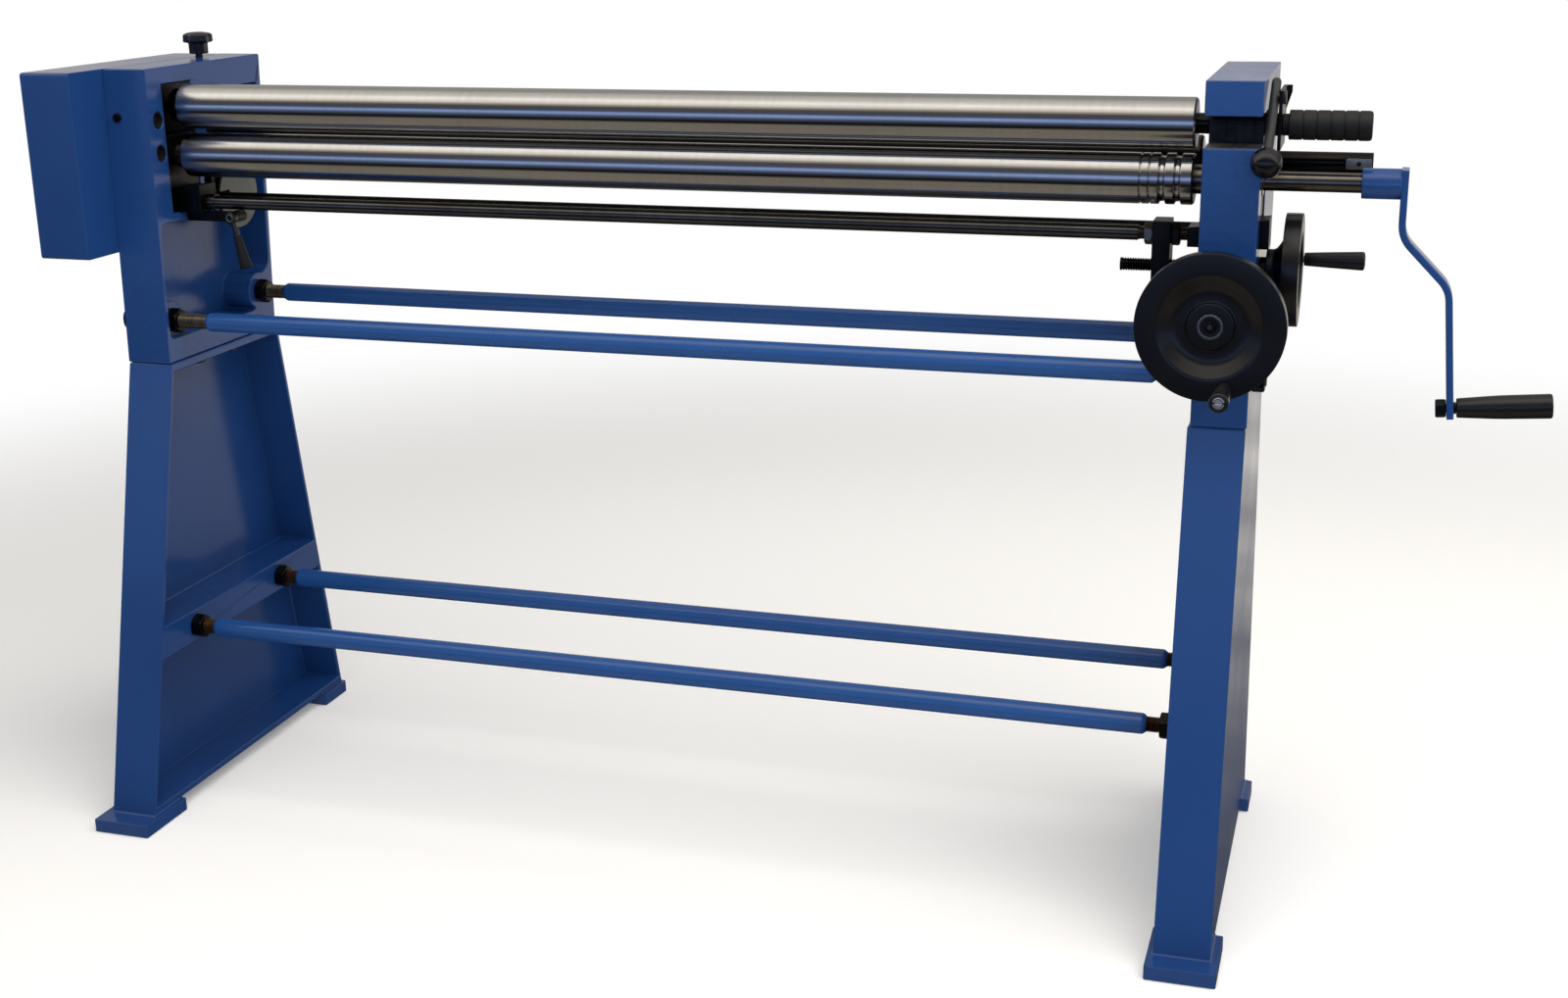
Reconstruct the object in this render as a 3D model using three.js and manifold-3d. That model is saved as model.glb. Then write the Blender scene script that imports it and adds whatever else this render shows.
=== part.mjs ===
// Slip roll: three bending rolls between two cast housings on sheet-steel stands.
// Millimetres, +Z up, +X to the right, the operator stands on the -Y side.
// While it is built, X = 0 is the middle of the rolls, Y = 0 the plane of the two pinch
// rolls and Z = 0 the floor. The last lines move the origin to the middle of the footprint.
import * as THREE from 'three';
import { mergeVertices } from 'three/addons/utils/BufferGeometryUtils.js';
import Module from 'manifold-3d';

const wasm = await Module();
wasm.setup();

// Clearances
const seatGap = 0.3; // between pieces that touch or bolt together
const runGap = 0.3; // round a shaft in its bearing
const shaftSlotGap = 2.5; // round the rear roll's shaft in the slot it rises in
const swingGap = 2.1; // between the housing and what swings past it

// Facets round a turned piece
const rollFacets = 24;
const shaftFacets = 16;
const smallFacets = 10;
const wheelFacets = 24;
const flankSteps = 2;
const ballFacets = 14;

// Housings: a tapering casting with a window and a cast recess, seen from the side
const housingInner = 689;
const housingThickness = 65;
const housingWeb = 20;
const housingBottom = 627.4;
const housingHeight = 396.6;
const housingTop = housingBottom + housingHeight;
const housingFrontTop = -68;
const housingFrontBottom = -80;
const housingRearTop = 210;
const housingRearBottom = 190;
const housingOuter = housingInner + housingThickness;
const webInner = housingOuter - housingWeb;

// Rolls, placed from the housings' inner faces and tops
const rollRadius = 30;
const rollSideGap = 13.5;
const rollEnd = housingInner - rollSideGap;
const rollChamfer = 2;
const upperAxisBelowTop = 54.5;
const upperAxisZ = housingTop - upperAxisBelowTop;
const pinchGap = 4.8;
const lowerAxisZ = upperAxisZ - 2 * rollRadius - pinchGap;
const rearAxisY = 92;
const rearAxisBelowUpper = 53.5;
const rearAxisZ = upperAxisZ - rearAxisBelowUpper;
const neckRadius = 17;
const driveShaftRadius = 14;
const crankShaftRadius = 11.25;
const rearShaftRadius = 12.5;
const rearShaftShown = 119;
const rearShaftEnd = housingOuter + rearShaftShown;
const wireGrooves = [
  { fromEnd: 61.5, width: 2, depth: 1.5 },
  { fromEnd: 51, width: 2, depth: 1.5 },
  { fromEnd: 36.5, width: 8, depth: 3.5 },
  { fromEnd: 18.5, width: 8, depth: 3.5 },
];

// Windows, recesses and bosses of the housings
const windowHalf = 34;
const windowAboveAxis = 31.5;
const windowTop = upperAxisZ + windowAboveAxis;
const lowerWindowBelowAxis = 29.5;
const lowerWindowTop = upperAxisZ - lowerWindowBelowAxis;
const castWall = 8;
const recessFloor = 32.6;
const recessBottom = housingBottom + recessFloor;
const recessHighFront = 148;
const recessHighAboveAxis = 15.5;
const recessHighTop = upperAxisZ + recessHighAboveAxis;
const recessCorner = 12;
const cornerBlockFromRear = 45;
const cornerBlockFront = housingRearBottom - cornerBlockFromRear;
const cornerBlockHeight = 76.6;
const cornerBlockLow = housingBottom + cornerBlockHeight;
const cornerBlockRise = 14;
const cornerBlockHigh = cornerBlockLow + cornerBlockRise;
const bossRadius = 27;
const bossSunk = 14;
const slotBelowAxis = 20.5;
const slotBottom = upperAxisZ - slotBelowAxis;
const slotAboveAxis = 15.2;
const slotTop = upperAxisZ + slotAboveAxis;
const slotBack = 16;
const pocketHoleRadius = 11;
const pocketHoleDepth = 20;
const pocketHoleY = -48;
const pocketHolesBelowAxis = [58.5, 14.5];

// Stands: an open tray of folded sheet with a foot at each end and a cross channel
const standStepIn = 3;
const standInner = housingInner - standStepIn;
const standStepOut = 1;
const standOuter = housingOuter - standStepOut;
const standWall = 6;
const standTopPlate = 12;
const standBasePlate = 10;
const standFrontBase = -228;
const standRearBase = 286;
const footProudIn = 7;
const footProudOut = 10;
const footInner = standInner - footProudIn;
const footOuter = standOuter + footProudOut;
const footProudFront = 30;
const footProudRear = 2;
const footFront = standFrontBase - footProudFront;
const footRear = standRearBase + footProudRear;
const footThickness = 18;
const frontFootLength = 96;
const rearFootLength = 66;
const channelZ = 250;
const channelHeight = 46;
const weldNutLength = 16;

// Tie rods and their nuts: the upper ones go through the housings, the lower ones to the stands
const tieRadius = 13;
const tieChamfer = 4;
const studRadius = 10;
const nutFlats = 30;
const nutLength = 16;
const studPastNut = 5;
const upperRodShoulder = housingInner - 45;
const lowerRodShoulder = standInner - 33;
const upperFrontRod = { fromFront: 34.3, above: 54.6 };
const upperRearRod = { fromRear: 34.5, above: 58.6 };
const lowerFrontRodFromBase = 142;
const lowerRearRodFromBase = 152;
const tieRods = [
  {
    name: 'upper_front', through: true, sunk: bossSunk, end: upperRodShoulder,
    y: housingFrontBottom + upperFrontRod.fromFront, z: housingBottom + upperFrontRod.above,
  },
  {
    name: 'upper_rear', through: true, sunk: 0, end: upperRodShoulder,
    y: housingRearBottom - upperRearRod.fromRear, z: housingBottom + upperRearRod.above,
  },
  {
    name: 'lower_front', through: false, sunk: 0, end: lowerRodShoulder,
    y: standFrontBase + lowerFrontRodFromBase, z: channelZ,
  },
  {
    name: 'lower_rear', through: false, sunk: 0, end: lowerRodShoulder,
    y: standRearBase - lowerRearRodFromBase, z: channelZ,
  },
];

// Bolts between housing and stand
const boltRadius = 6;
const boltFlats = 19;
const boltHead = 8;
const boltLength = 38;
const boltFromInner = 24;
const boltX = housingInner + boltFromInner;
const boltFromFront = 100;
const boltFromRear = 90;
const boltY = [housingFrontBottom + boltFromFront, housingRearBottom - boltFromRear];

// Gear cover and gears
const coverDepth = 74;
const coverOuter = housingOuter + coverDepth;
const coverProud = 73.8;
const coverFront = housingFrontTop - coverProud;
const coverBelowAxis = 190.5;
const coverBottom = upperAxisZ - coverBelowAxis;
const coverSheet = 2.5;
const coverCorner = 5;
const coverFlange = 14;
const gearModule = 4;
const gearTeeth = 15;
const gearAddendum = 3.5;
const gearDedendum = 4.5;
const gearBacklash = 0.7;
const gearFromHousing = 17;
const gearInner = housingOuter + gearFromHousing;
const gearWidth = 22;
const gearHubRadius = 20;
const gearShaftPast = 7;
const gearShaftEnd = gearInner + gearWidth + gearShaftPast;
const pressureAngle = (20 * Math.PI) / 180;

// Coupling that drives the upper roll and lets it swing out
const couplingInside = 26;
const couplingX = -housingInner - couplingInside;
const couplingBall = 17.5;
const couplingPlay = 0.5;
const couplingNeck = 10;
const cupRadius = 23;
const cupMouthInside = 13;
const cupMouth = -housingInner - cupMouthInside;
const crossPinRadius = 4;
const crossPinHalf = 22;
const crossSlotHalf = 5;
const crossSlotDepth = 11;

// Drop-out bearing of the upper roll, its lever and its grip
const dropJournal = 8;
const dropShoulder = 12;
const dropShoulderEnd = housingInner + 1;
const dropBlockRadius = 14.9;
const dropBossRadius = 13;
const earThickness = 4.2;
const earFront = -22;
const earRear = 60;
const earBelowAxis = 27.5;
const earBottom = upperAxisZ - earBelowAxis;
const earAboveAxis = 40;
const earTop = upperAxisZ + earAboveAxis;
const gussetThickness = 6;
const gussetReach = 6;
const gussetDrop = 31;
const leverPivotY = -8;
const leverPivotAboveAxis = 31.5;
const leverPivotZ = upperAxisZ + leverPivotAboveAxis;
const leverRadius = 5.5;
const leverLength = 111;
const leverTail = 30;
const leverSlope = 35; // degrees below level at rest
const leverBall = 17.5;
const leverPinRadius = 5;
const leverPinHead = 8;
const leverPinHeadLength = 3;
const gripRadius = 17;
const gripNeckRadius = 12.5;
const gripNeckLength = 7;
const gripShown = 117;
const gripEnd = housingOuter + gripShown;
const gripRings = 6;
const gripGroove = 1;

// Draw rod with its wedges, and the bearing blocks that they lift
const lowerBlockAboveAxis = 28.3;
const lowerBlockTop = lowerAxisZ + lowerBlockAboveAxis;
const rodBelowAxis = 64.7;
const drawRodZ = lowerAxisZ - rodBelowAxis;
const drawRodRadius = 9;
const drawThreadRadius = 8;
const drawCollarRadius = 11;
const drawCollarLength = 13;
const drawWedgeHalf = 20;
const drawWedgeBelowRod = 12;
const drawWedgeBottom = drawRodZ - drawWedgeBelowRod;
const drawWedgeSlope = 1 / 8;
const drawWedgeAboveRod = 17;
const drawWedgeMiddleZ = drawRodZ + drawWedgeAboveRod;
const rightWedgeProud = 10;
const rightWedgeIn = 18;
const leftWedgeProud = 18;
const leftWedgeIn = 33;
const drawWedgeRight = { inner: housingInner - rightWedgeIn, outer: housingOuter + rightWedgeProud };
const drawWedgeLeft = { inner: housingInner - leftWedgeIn, outer: housingOuter + leftWedgeProud };
const drawSocketDepth = 20;
const bracketFromHousing = 59;
const bracketInner = housingInner - bracketFromHousing;
const bracketWidth = 21;
const bracketHalf = 18;
const bracketAboveRod = 17;
const bracketTop = drawRodZ + bracketAboveRod;
const drawThreadShown = 18;
const drawThreadStart = bracketInner - drawThreadShown;
const rodNutFlats = 24;
const rodNutLength = 10;
const recessBelowWedge = 11;
const recessTop = drawWedgeBottom - recessBelowWedge;

// Side handwheel and its screw
const sideScrewBelowRod = 38;
const sideScrewZ = drawRodZ - sideScrewBelowRod;
const sideScrewRadius = 8;
const sideScrewPast = 38;
const sideScrewEnd = bracketInner - sideScrewPast;
const bracketBelowScrew = 19;
const bracketBottom = sideScrewZ - bracketBelowScrew;
const sideCollarRadius = 14;
const sideCollarLength = 7;
const sideWheelRadius = 66;
const sideWheelProud = 47;
const sideWheelFace = housingOuter + sideWheelProud;
const sideHandleRadius = 54;
const sideHandleAngle = 4;
const wheelSpindle = 6;

// Front handwheel, its screw and bush
const frontScrewFromInner = 24;
const frontScrewX = housingInner + frontScrewFromInner;
const frontScrewBelowRod = 79;
const frontScrewZ = drawRodZ - frontScrewBelowRod;
const frontScrewRadius = 8;
const frontScrewPast = 30;
const frontBushRadius = 21;
const frontBushLength = 18;
const frontWheelRadius = 84;
const frontWheelProud = 77;
const frontWheelFace = housingFrontBottom - frontWheelProud;
const frontHandleRadius = 70;
const frontHandleAngle = -74;

// Both handwheels: flat rim, conical dish in front and cone behind; shares are of the wheel's radius
const wheelRimWidth = 19.5;
const wheelEdge = 1.5;
const wheelDishDepth = 12;
const wheelDishOuterShare = 0.7;
const wheelDishInnerShare = 0.5;
const wheelHubFaceShare = 0.31;
const wheelHubSunk = 8;
const wheelConeShare = 0.57;
const wheelConeFoot = 29; // distance of the cone's narrow end from the wheel's face
const wheelHubRadius = 23.5;
const wheelSpindleProud = 1;

// Revolving handles of the wheels
const handleLength = 71;
const handleStud = 4;
const handleStudShort = 6;
const handleStudDepth = 10;
const handleGap = 1;
const handleNeck = 7;
const handleSmall = 7.8;
const handleLarge = 11.3;
const handleCorner = 9.5;
const handleShoulder = 2;
const handleRounding = 4;

// Rear roll bearing blocks, their wedges and the bar that joins them
const rearBlockHalf = 30;
const rearBlockAboveAxis = 34;
const rearBlockTop = rearAxisZ + rearBlockAboveAxis;
const rearTravelUp = 20;
const rearTravelDown = 5;
const rearWedgeSlope = 0.8;
const rearWedgeAhead = 21.3;
const rearWedgeFront = rearAxisY - rearWedgeAhead;
const rearWedgeBehind = 40;
const rearWedgeRear = rearAxisY + rearWedgeBehind;
const rearWedgeBelowAxis = 92;
const rearWedgeBottom = rearAxisZ - rearWedgeBelowAxis;
const rearWedgeToe = 24;
const rearWedgeLow = rearWedgeBottom + rearWedgeToe;
const rearBarAhead = 12;
const rearBarY = rearAxisY - rearBarAhead;
const rearBarAboveSole = 10;
const rearBarZ = rearWedgeBottom + rearBarAboveSole;
const rearBarRadius = 8;
const nutArmWidth = 32;
const nutArmDepth = 20;
const nutArmBelowScrew = 17;
const nutArmBottom = frontScrewZ - nutArmBelowScrew;
const frontScrewEnd = rearBarY + frontScrewPast;
const guideDiscBehindBar = 38;
const guideDiscY = rearBarY + guideDiscBehindBar;
const guideDiscZ = rearBarZ;
const guideDiscRadius = 48;
const guideDiscThickness = 5;
const guideSlotGap = 1;

// Crank
const crankShaftShown = 109;
const crankHubStart = housingOuter + crankShaftShown;
const crankHubLength = 51;
const crankHubEnd = crankHubStart + crankHubLength;
const crankHubRadius = 17.5;
const crankBar = 8;
const crankBarWidth = 32;
const crankRadius = 258;
const crankKneeDrop = 58.7;
const crankKneeUpper = lowerAxisZ - crankKneeDrop;
const crankKneeLength = 58;
const crankKneeLower = crankKneeUpper - crankKneeLength;
const crankOffset = 56;
const crankLean = 11.5; // how far the bar leans outward between knee and handle
const crankBarTail = 9.5;
const spindleRadius = 5;
const spindleCollar = 7;
const spindleCollarLength = 2.5;
const spindleNutFlats = 19;
const spindleNutLength = 12;
const spindleShort = 12; // how far the bolt ends inside the handle
const crankGripLength = 105.7;
const crankGripSmall = 11.3;
const crankGripWaist = 13.8;
const crankGripWaistAt = 46;
const crankGripLarge = 14.4;
const crankGripShoulder = 2;
const crankGripRounding = 5;
const crankGripCorner = 11.5;
const crankGripDome = 1.5;
const crankGripFloor = 11; // how far the bore's end lies inside the handle's end

// Star knob on the left housing and clamp lever of the draw rod
const knobFromOuter = 12;
const knobX = -housingOuter + knobFromOuter;
const knobFromRear = 70;
const knobY = housingRearTop - knobFromRear;
const knobRadius = 21;
const knobLobes = 7;
const knobLobeDepth = 2.6;
const knobHead = 14;
const knobHub = 13.5;
const knobHubHeight = 16;
const knobStem = 5;
const knobStemShown = 5;
const knobStemDepth = 30;
const clampFromHousing = 77.5;
const clampX = -housingInner + clampFromHousing;
const clampBelowRod = 18;
const clampZ = drawRodZ - clampBelowRod;
const clampBossHalf = 10;
const clampBossWall = 4;
const clampArmHalf = 6;
const clampArmHeight = 13;
const clampArmTop = drawWedgeBottom - 2 * seatGap;
const clampHubRadius = 8;
const clampHubLength = 11;
const clampStemLength = 25;
const clampGripLength = 46;
const clampSlope = 13; // degrees off plumb at rest

// Values that follow from the ones above
const drawWedgeMiddleX = (housingInner + housingOuter) / 2;
const rearBlockOuter = webInner - seatGap;
const rearFootZ = rearWedgeLow + seatGap;
const crankArmX = crankHubEnd - crankBar;
const crankArmLowX = crankArmX + crankOffset;
const crankHandleZ = lowerAxisZ - crankRadius;
const crankTilt = Math.atan(crankLean / (crankKneeLower - crankHandleZ));
const crankHandleX = crankArmLowX + crankLean;
const crankGripStart = crankBar + 2 * seatGap + spindleCollarLength;
const crankGripEnd = crankGripStart + crankGripLength;
const machineRight = crankHandleX + crankGripEnd * Math.cos(crankTilt);
const earInner = housingOuter + swingGap + 2 * leverRadius + seatGap;
const earOuter = earInner + earThickness;
const leverX = housingOuter + swingGap + leverRadius;
const frontFaceAt = (z) => housingFrontBottom
  + ((housingFrontTop - housingFrontBottom) * (z - housingBottom)) / (housingTop - housingBottom);
const rearFaceAt = (z) => housingRearBottom
  + ((housingRearTop - housingRearBottom) * (z - housingBottom)) / (housingTop - housingBottom);

// Finishes
const finish = (color, roughness, metalness) => (
  new THREE.MeshStandardMaterial({ color, roughness, metalness }));
const enamel = () => finish(0x234a8c, 0.35, 0.1);
const polishedSteel = () => finish(0xb9b9b4, 0.2, 1);
const bareSteel = () => finish(0x7d7872, 0.4, 1);
const blackOxide = () => finish(0x16181a, 0.45, 0.6);
const blackPlastic = () => finish(0x121315, 0.35, 0);
const rubber = () => finish(0x18191a, 0.8, 0);
const castPlate = () => finish(0x4a5150, 0.5, 0.5);

// A closed geometry becomes a solid: shared points merged, slivers dropped, faces outward
function solid(geometry) {
  const bare = new THREE.BufferGeometry();
  bare.setAttribute('position', geometry.getAttribute('position').clone());
  if (geometry.index) bare.setIndex(geometry.index.clone());
  const merged = mergeVertices(bare);
  const points = merged.getAttribute('position').array;
  const index = merged.index.array;
  const triangles = [];
  let volume = 0;
  for (let i = 0; i < index.length; i += 3) {
    const [a, b, c] = [index[i], index[i + 1], index[i + 2]];
    if (a === b || b === c || c === a) continue;
    triangles.push(a, b, c);
    const [p, q, r] = [a, b, c].map((k) => new THREE.Vector3().fromArray(points, 3 * k));
    volume += p.dot(q.cross(r));
  }
  if (volume < 0) triangles.reverse();
  return new wasm.Manifold(new wasm.Mesh({
    numProp: 3,
    vertProperties: new Float32Array(points),
    triVerts: new Uint32Array(triangles),
  }));
}

function join(first, ...rest) {
  return rest.reduce((sum, next) => sum.add(next), first);
}

function cut(first, ...rest) {
  return rest.reduce((left, next) => left.subtract(next), first);
}

function toGeometry(body) {
  const mesh = body.getMesh();
  const geometry = new THREE.BufferGeometry();
  geometry.setAttribute('position', new THREE.BufferAttribute(mesh.vertProperties, 3));
  geometry.setIndex(new THREE.BufferAttribute(mesh.triVerts, 1));
  geometry.computeVertexNormals();
  return geometry;
}

function block([x0, x1], [y0, y1], [z0, z1]) {
  const box = new THREE.BoxGeometry(Math.abs(x1 - x0), Math.abs(y1 - y0), Math.abs(z1 - z0));
  return solid(box.translate((x0 + x1) / 2, (y0 + y1) / 2, (z0 + z1) / 2));
}

// Turns a shape made along Y to lie along the named axis, through the given point
function along(axis, geometry, [x, y, z]) {
  if (axis === 'x') geometry.rotateZ(-Math.PI / 2);
  if (axis === 'z') geometry.rotateX(Math.PI / 2);
  return solid(geometry.translate(x, y, z));
}

// A turned piece: outline points are [radius, distance along the axis]
function turned(axis, outline, centre, facets = shaftFacets) {
  const points = outline.map(([radius, distance]) => new THREE.Vector2(radius, distance));
  return along(axis, new THREE.LatheGeometry(points, facets), centre);
}

function bar(axis, radius, [from, to], centre, facets = shaftFacets) {
  const [low, high] = [Math.min(from, to), Math.max(from, to)];
  return turned(axis, [[0, low], [radius, low], [radius, high], [0, high]], centre, facets);
}

// A cutter whose flats, not its corners, lie at the given radius
function hole(axis, radius, ends, centre, facets = shaftFacets) {
  return bar(axis, radius / Math.cos(Math.PI / facets), ends, centre, facets);
}

// A hexagonal prism with an optional bore
function hexagon(axis, flats, [from, to], centre, bore = 0) {
  const outer = bar(axis, flats / 2 / Math.cos(Math.PI / 6), [from, to], centre, 6);
  if (!bore) return outer;
  return cut(outer, hole(axis, bore, [from - 1, to + 1], centre, smallFacets));
}

// A plate with its outline in the Y-Z plane, from x0 to x1
function sidePlate(points, [x0, x1]) {
  const shape = new THREE.Shape(points.map(([y, z]) => new THREE.Vector2(y, z)));
  return sideExtrusion(shape, [x0, x1]);
}

function sideExtrusion(shape, [x0, x1]) {
  const low = Math.min(x0, x1);
  const geometry = new THREE.ExtrudeGeometry(shape, {
    depth: Math.abs(x1 - x0), bevelEnabled: false, curveSegments: 4,
  });
  // Shape x becomes Y, shape y becomes Z and the extrusion runs along X
  geometry.applyMatrix4(new THREE.Matrix4().set(0, 0, 1, low, 1, 0, 0, 0, 0, 1, 0, 0, 0, 0, 0, 1));
  return solid(geometry);
}

// A plate with its outline in the X-Z plane, from y0 to y1
function frontPlate(points, [y0, y1]) {
  const shape = new THREE.Shape(points.map(([x, z]) => new THREE.Vector2(x, z)));
  const geometry = new THREE.ExtrudeGeometry(shape, { depth: y1 - y0, bevelEnabled: false });
  geometry.applyMatrix4(new THREE.Matrix4().set(1, 0, 0, 0, 0, 0, 1, y0, 0, 1, 0, 0, 0, 0, 0, 1));
  return solid(geometry);
}

// An outline whose corners are rounded, each no further than half of its shorter side
function roundedOutline(points, radius) {
  const shape = new THREE.Shape();
  const corners = points.map(([y, z]) => new THREE.Vector2(y, z));
  corners.forEach((corner, i) => {
    const toBefore = corners.at(i - 1).clone().sub(corner);
    const toAfter = corners[(i + 1) % corners.length].clone().sub(corner);
    const setback = Math.min(radius, toBefore.length() / 2.1, toAfter.length() / 2.1);
    const start = toBefore.setLength(setback).add(corner);
    const end = toAfter.setLength(setback).add(corner);
    if (i) shape.lineTo(start.x, start.y);
    else shape.moveTo(start.x, start.y);
    shape.quadraticCurveTo(corner.x, corner.y, end.x, end.y);
  });
  return shape;
}

function roundedRectangle([y0, y1], [z0, z1], radius) {
  return roundedOutline([[y0, z0], [y1, z0], [y1, z1], [y0, z1]], radius);
}

const machine = new THREE.Group();

function addPiece(name, body, material) {
  const mesh = new THREE.Mesh(toGeometry(body), material);
  mesh.name = name;
  machine.add(mesh);
}

// A range of X on the left (side -1) or the right (side 1)
const reach = (side, inner, outer) => [side * inner, side * outer];
const sideName = { '-1': 'left', 1: 'right' };
const past = 5; // how far a cutter runs past the face it cuts

// Stand: tray with its back on the outside, top plate, base, feet and cross channel
function stand(side) {
  const width = reach(side, standInner, standOuter);
  const outline = [
    [housingFrontBottom, housingBottom - seatGap],
    [housingRearBottom, housingBottom - seatGap],
    [standRearBase, footThickness],
    [standFrontBase, footThickness],
  ];
  const height = housingBottom - footThickness;
  const frontLean = (housingFrontBottom - standFrontBase) / height;
  const rearLean = (standRearBase - housingRearBottom) / height;
  const trayTop = housingBottom - standTopPlate;
  const trayBottom = footThickness + standBasePlate;
  const frontInside = (z) => standFrontBase + frontLean * (z - footThickness) + standWall;
  const rearInside = (z) => standRearBase - rearLean * (z - footThickness) - standWall;
  const hollow = sidePlate([
    [frontInside(trayTop), trayTop],
    [rearInside(trayTop), trayTop],
    [rearInside(trayBottom), trayBottom],
    [frontInside(trayBottom), trayBottom],
  ], reach(side, standInner - past, standOuter - standWall));
  const tray = cut(sidePlate(outline, width), hollow);
  const footWidth = reach(side, footInner, footOuter);
  const frontFoot = block(footWidth, [footFront, footFront + frontFootLength], [0, footThickness]);
  const rearFoot = block(footWidth, [footRear - rearFootLength, footRear], [0, footThickness]);
  const channelTop = channelZ + channelHeight / 2;
  const channelBottom = channelZ - channelHeight / 2;
  const overlapY = standWall / 2;
  const channelFace = sidePlate([
    [frontInside(channelTop) - overlapY, channelTop],
    [rearInside(channelTop) + overlapY, channelTop],
    [rearInside(channelBottom) + overlapY, channelBottom],
    [frontInside(channelBottom) - overlapY, channelBottom],
  ], reach(side, standInner, standInner + standWall));
  const ledge = block(
    reach(side, standInner, standOuter - overlapY),
    [frontInside(channelTop) - overlapY, rearInside(channelTop) + overlapY],
    [channelTop - standWall, channelTop],
  );
  let body = join(tray, frontFoot, rearFoot, channelFace, ledge);
  for (const rod of tieRods.filter((each) => !each.through)) {
    const behind = reach(side, standInner + overlapY, standInner + standWall + weldNutLength);
    body = join(body, hexagon('x', nutFlats, behind.sort((a, b) => a - b), [0, rod.y, rod.z]));
    const bore = reach(side, standInner - past, standInner + standWall + weldNutLength + past);
    body = cut(body, hole('x', studRadius + seatGap, bore, [0, rod.y, rod.z], smallFacets));
  }
  for (const y of boltY) {
    const ends = [trayTop - past, housingBottom + past];
    body = cut(body, hole('z', boltRadius + seatGap, ends, [side * boltX, y, 0], smallFacets));
  }
  return body;
}

// Housing casting with its window, cast recess, bosses and bores
function housing(side) {
  const width = reach(side, housingInner, housingOuter);
  const allThrough = reach(side, housingInner - past, housingOuter + past);
  const fromInside = reach(side, housingInner - past, webInner);
  let body = sidePlate([
    [housingFrontTop, housingTop],
    [housingRearTop, housingTop],
    [housingRearBottom, housingBottom],
    [housingFrontBottom, housingBottom],
  ], width);
  const recess = roundedOutline([
    [frontFaceAt(recessBottom) + castWall, recessBottom],
    [cornerBlockFront, recessBottom],
    [cornerBlockFront, cornerBlockLow],
    [rearFaceAt(cornerBlockHigh) - castWall, cornerBlockHigh],
    [rearFaceAt(recessHighTop) - castWall, recessHighTop],
    [recessHighFront, recessHighTop],
    [recessHighFront, recessTop],
    [frontFaceAt(recessTop) + castWall, recessTop],
  ], recessCorner);
  body = cut(body, sideExtrusion(recess, fromInside));
  for (const rod of tieRods.filter((each) => each.through)) {
    const boss = reach(side, housingInner + rod.sunk, housingOuter);
    body = join(body, bar('x', bossRadius, boss, [0, rod.y, rod.z]));
    const bore = studRadius + seatGap;
    body = cut(body, hole('x', bore, allThrough, [0, rod.y, rod.z], smallFacets));
  }
  const windowHigh = side < 0 ? windowTop : lowerWindowTop;
  const wedgeFloor = rearWedgeBottom - seatGap;
  const travel = [-rearTravelUp / rearWedgeSlope, rearTravelDown / rearWedgeSlope];
  const rearTop = rearBlockTop + rearTravelUp + runGap;
  body = cut(
    body,
    block(allThrough, [-windowHalf, windowHalf], [drawWedgeBottom - runGap, windowHigh]),
    block(
      fromInside,
      [rearAxisY - rearBlockHalf - runGap, rearAxisY + rearBlockHalf + runGap],
      [wedgeFloor, rearTop],
    ),
    block(
      fromInside,
      [rearWedgeFront + travel[0] - runGap, rearWedgeRear + travel[1] + runGap],
      [wedgeFloor, rearWedgeLow + rearWedgeSlope * (rearWedgeRear - rearWedgeFront) + runGap],
    ),
  );
  for (const y of boltY) {
    const ends = [housingBottom - past, recessBottom + past];
    body = cut(body, hole('z', boltRadius + seatGap, ends, [side * boltX, y, 0], smallFacets));
  }
  return body;
}

function leftHousing() {
  const holes = pocketHolesBelowAxis.map((drop) => bar(
    'x', pocketHoleRadius, [-housingInner - pocketHoleDepth, -housingInner + past],
    [0, pocketHoleY, upperAxisZ - drop]));
  const knobHole = hole(
    'z', knobStem + seatGap, [housingTop - knobStemDepth - past, housingTop + past],
    [knobX, knobY, 0], smallFacets);
  return cut(housing(-1), ...holes, knobHole);
}

function rightHousing() {
  const through = [housingInner - past, housingOuter + past];
  const shaftTop = rearAxisZ + rearTravelUp;
  const shaftLow = rearAxisZ - rearTravelDown;
  const shaftRoom = rearShaftRadius + shaftSlotGap;
  const travel = [-rearTravelUp / rearWedgeSlope, rearTravelDown / rearWedgeSlope];
  const armHalf = nutArmWidth / 2 + runGap;
  return cut(
    housing(1),
    block(through, [housingFrontBottom - past, slotBack], [slotBottom, slotTop]),
    block(through, [rearAxisY - shaftRoom, rearAxisY + shaftRoom], [shaftLow, shaftTop]),
    hole('x', shaftRoom, through, [0, rearAxisY, shaftTop]),
    hole('x', shaftRoom, through, [0, rearAxisY, shaftLow]),
    hole('x', sideScrewRadius + runGap, through, [0, 0, sideScrewZ]),
    hole('y', frontScrewRadius + runGap,
      [housingFrontBottom - past, frontFaceAt(frontScrewZ) + castWall + past],
      [frontScrewX, 0, frontScrewZ]),
    block(
      [frontScrewX - armHalf, frontScrewX + armHalf],
      [
        rearBarY - nutArmDepth / 2 + travel[0] - runGap,
        rearBarY + nutArmDepth / 2 + travel[1] + runGap,
      ],
      [recessTop - past, rearWedgeBottom + 1],
    ),
  );
}

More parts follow.
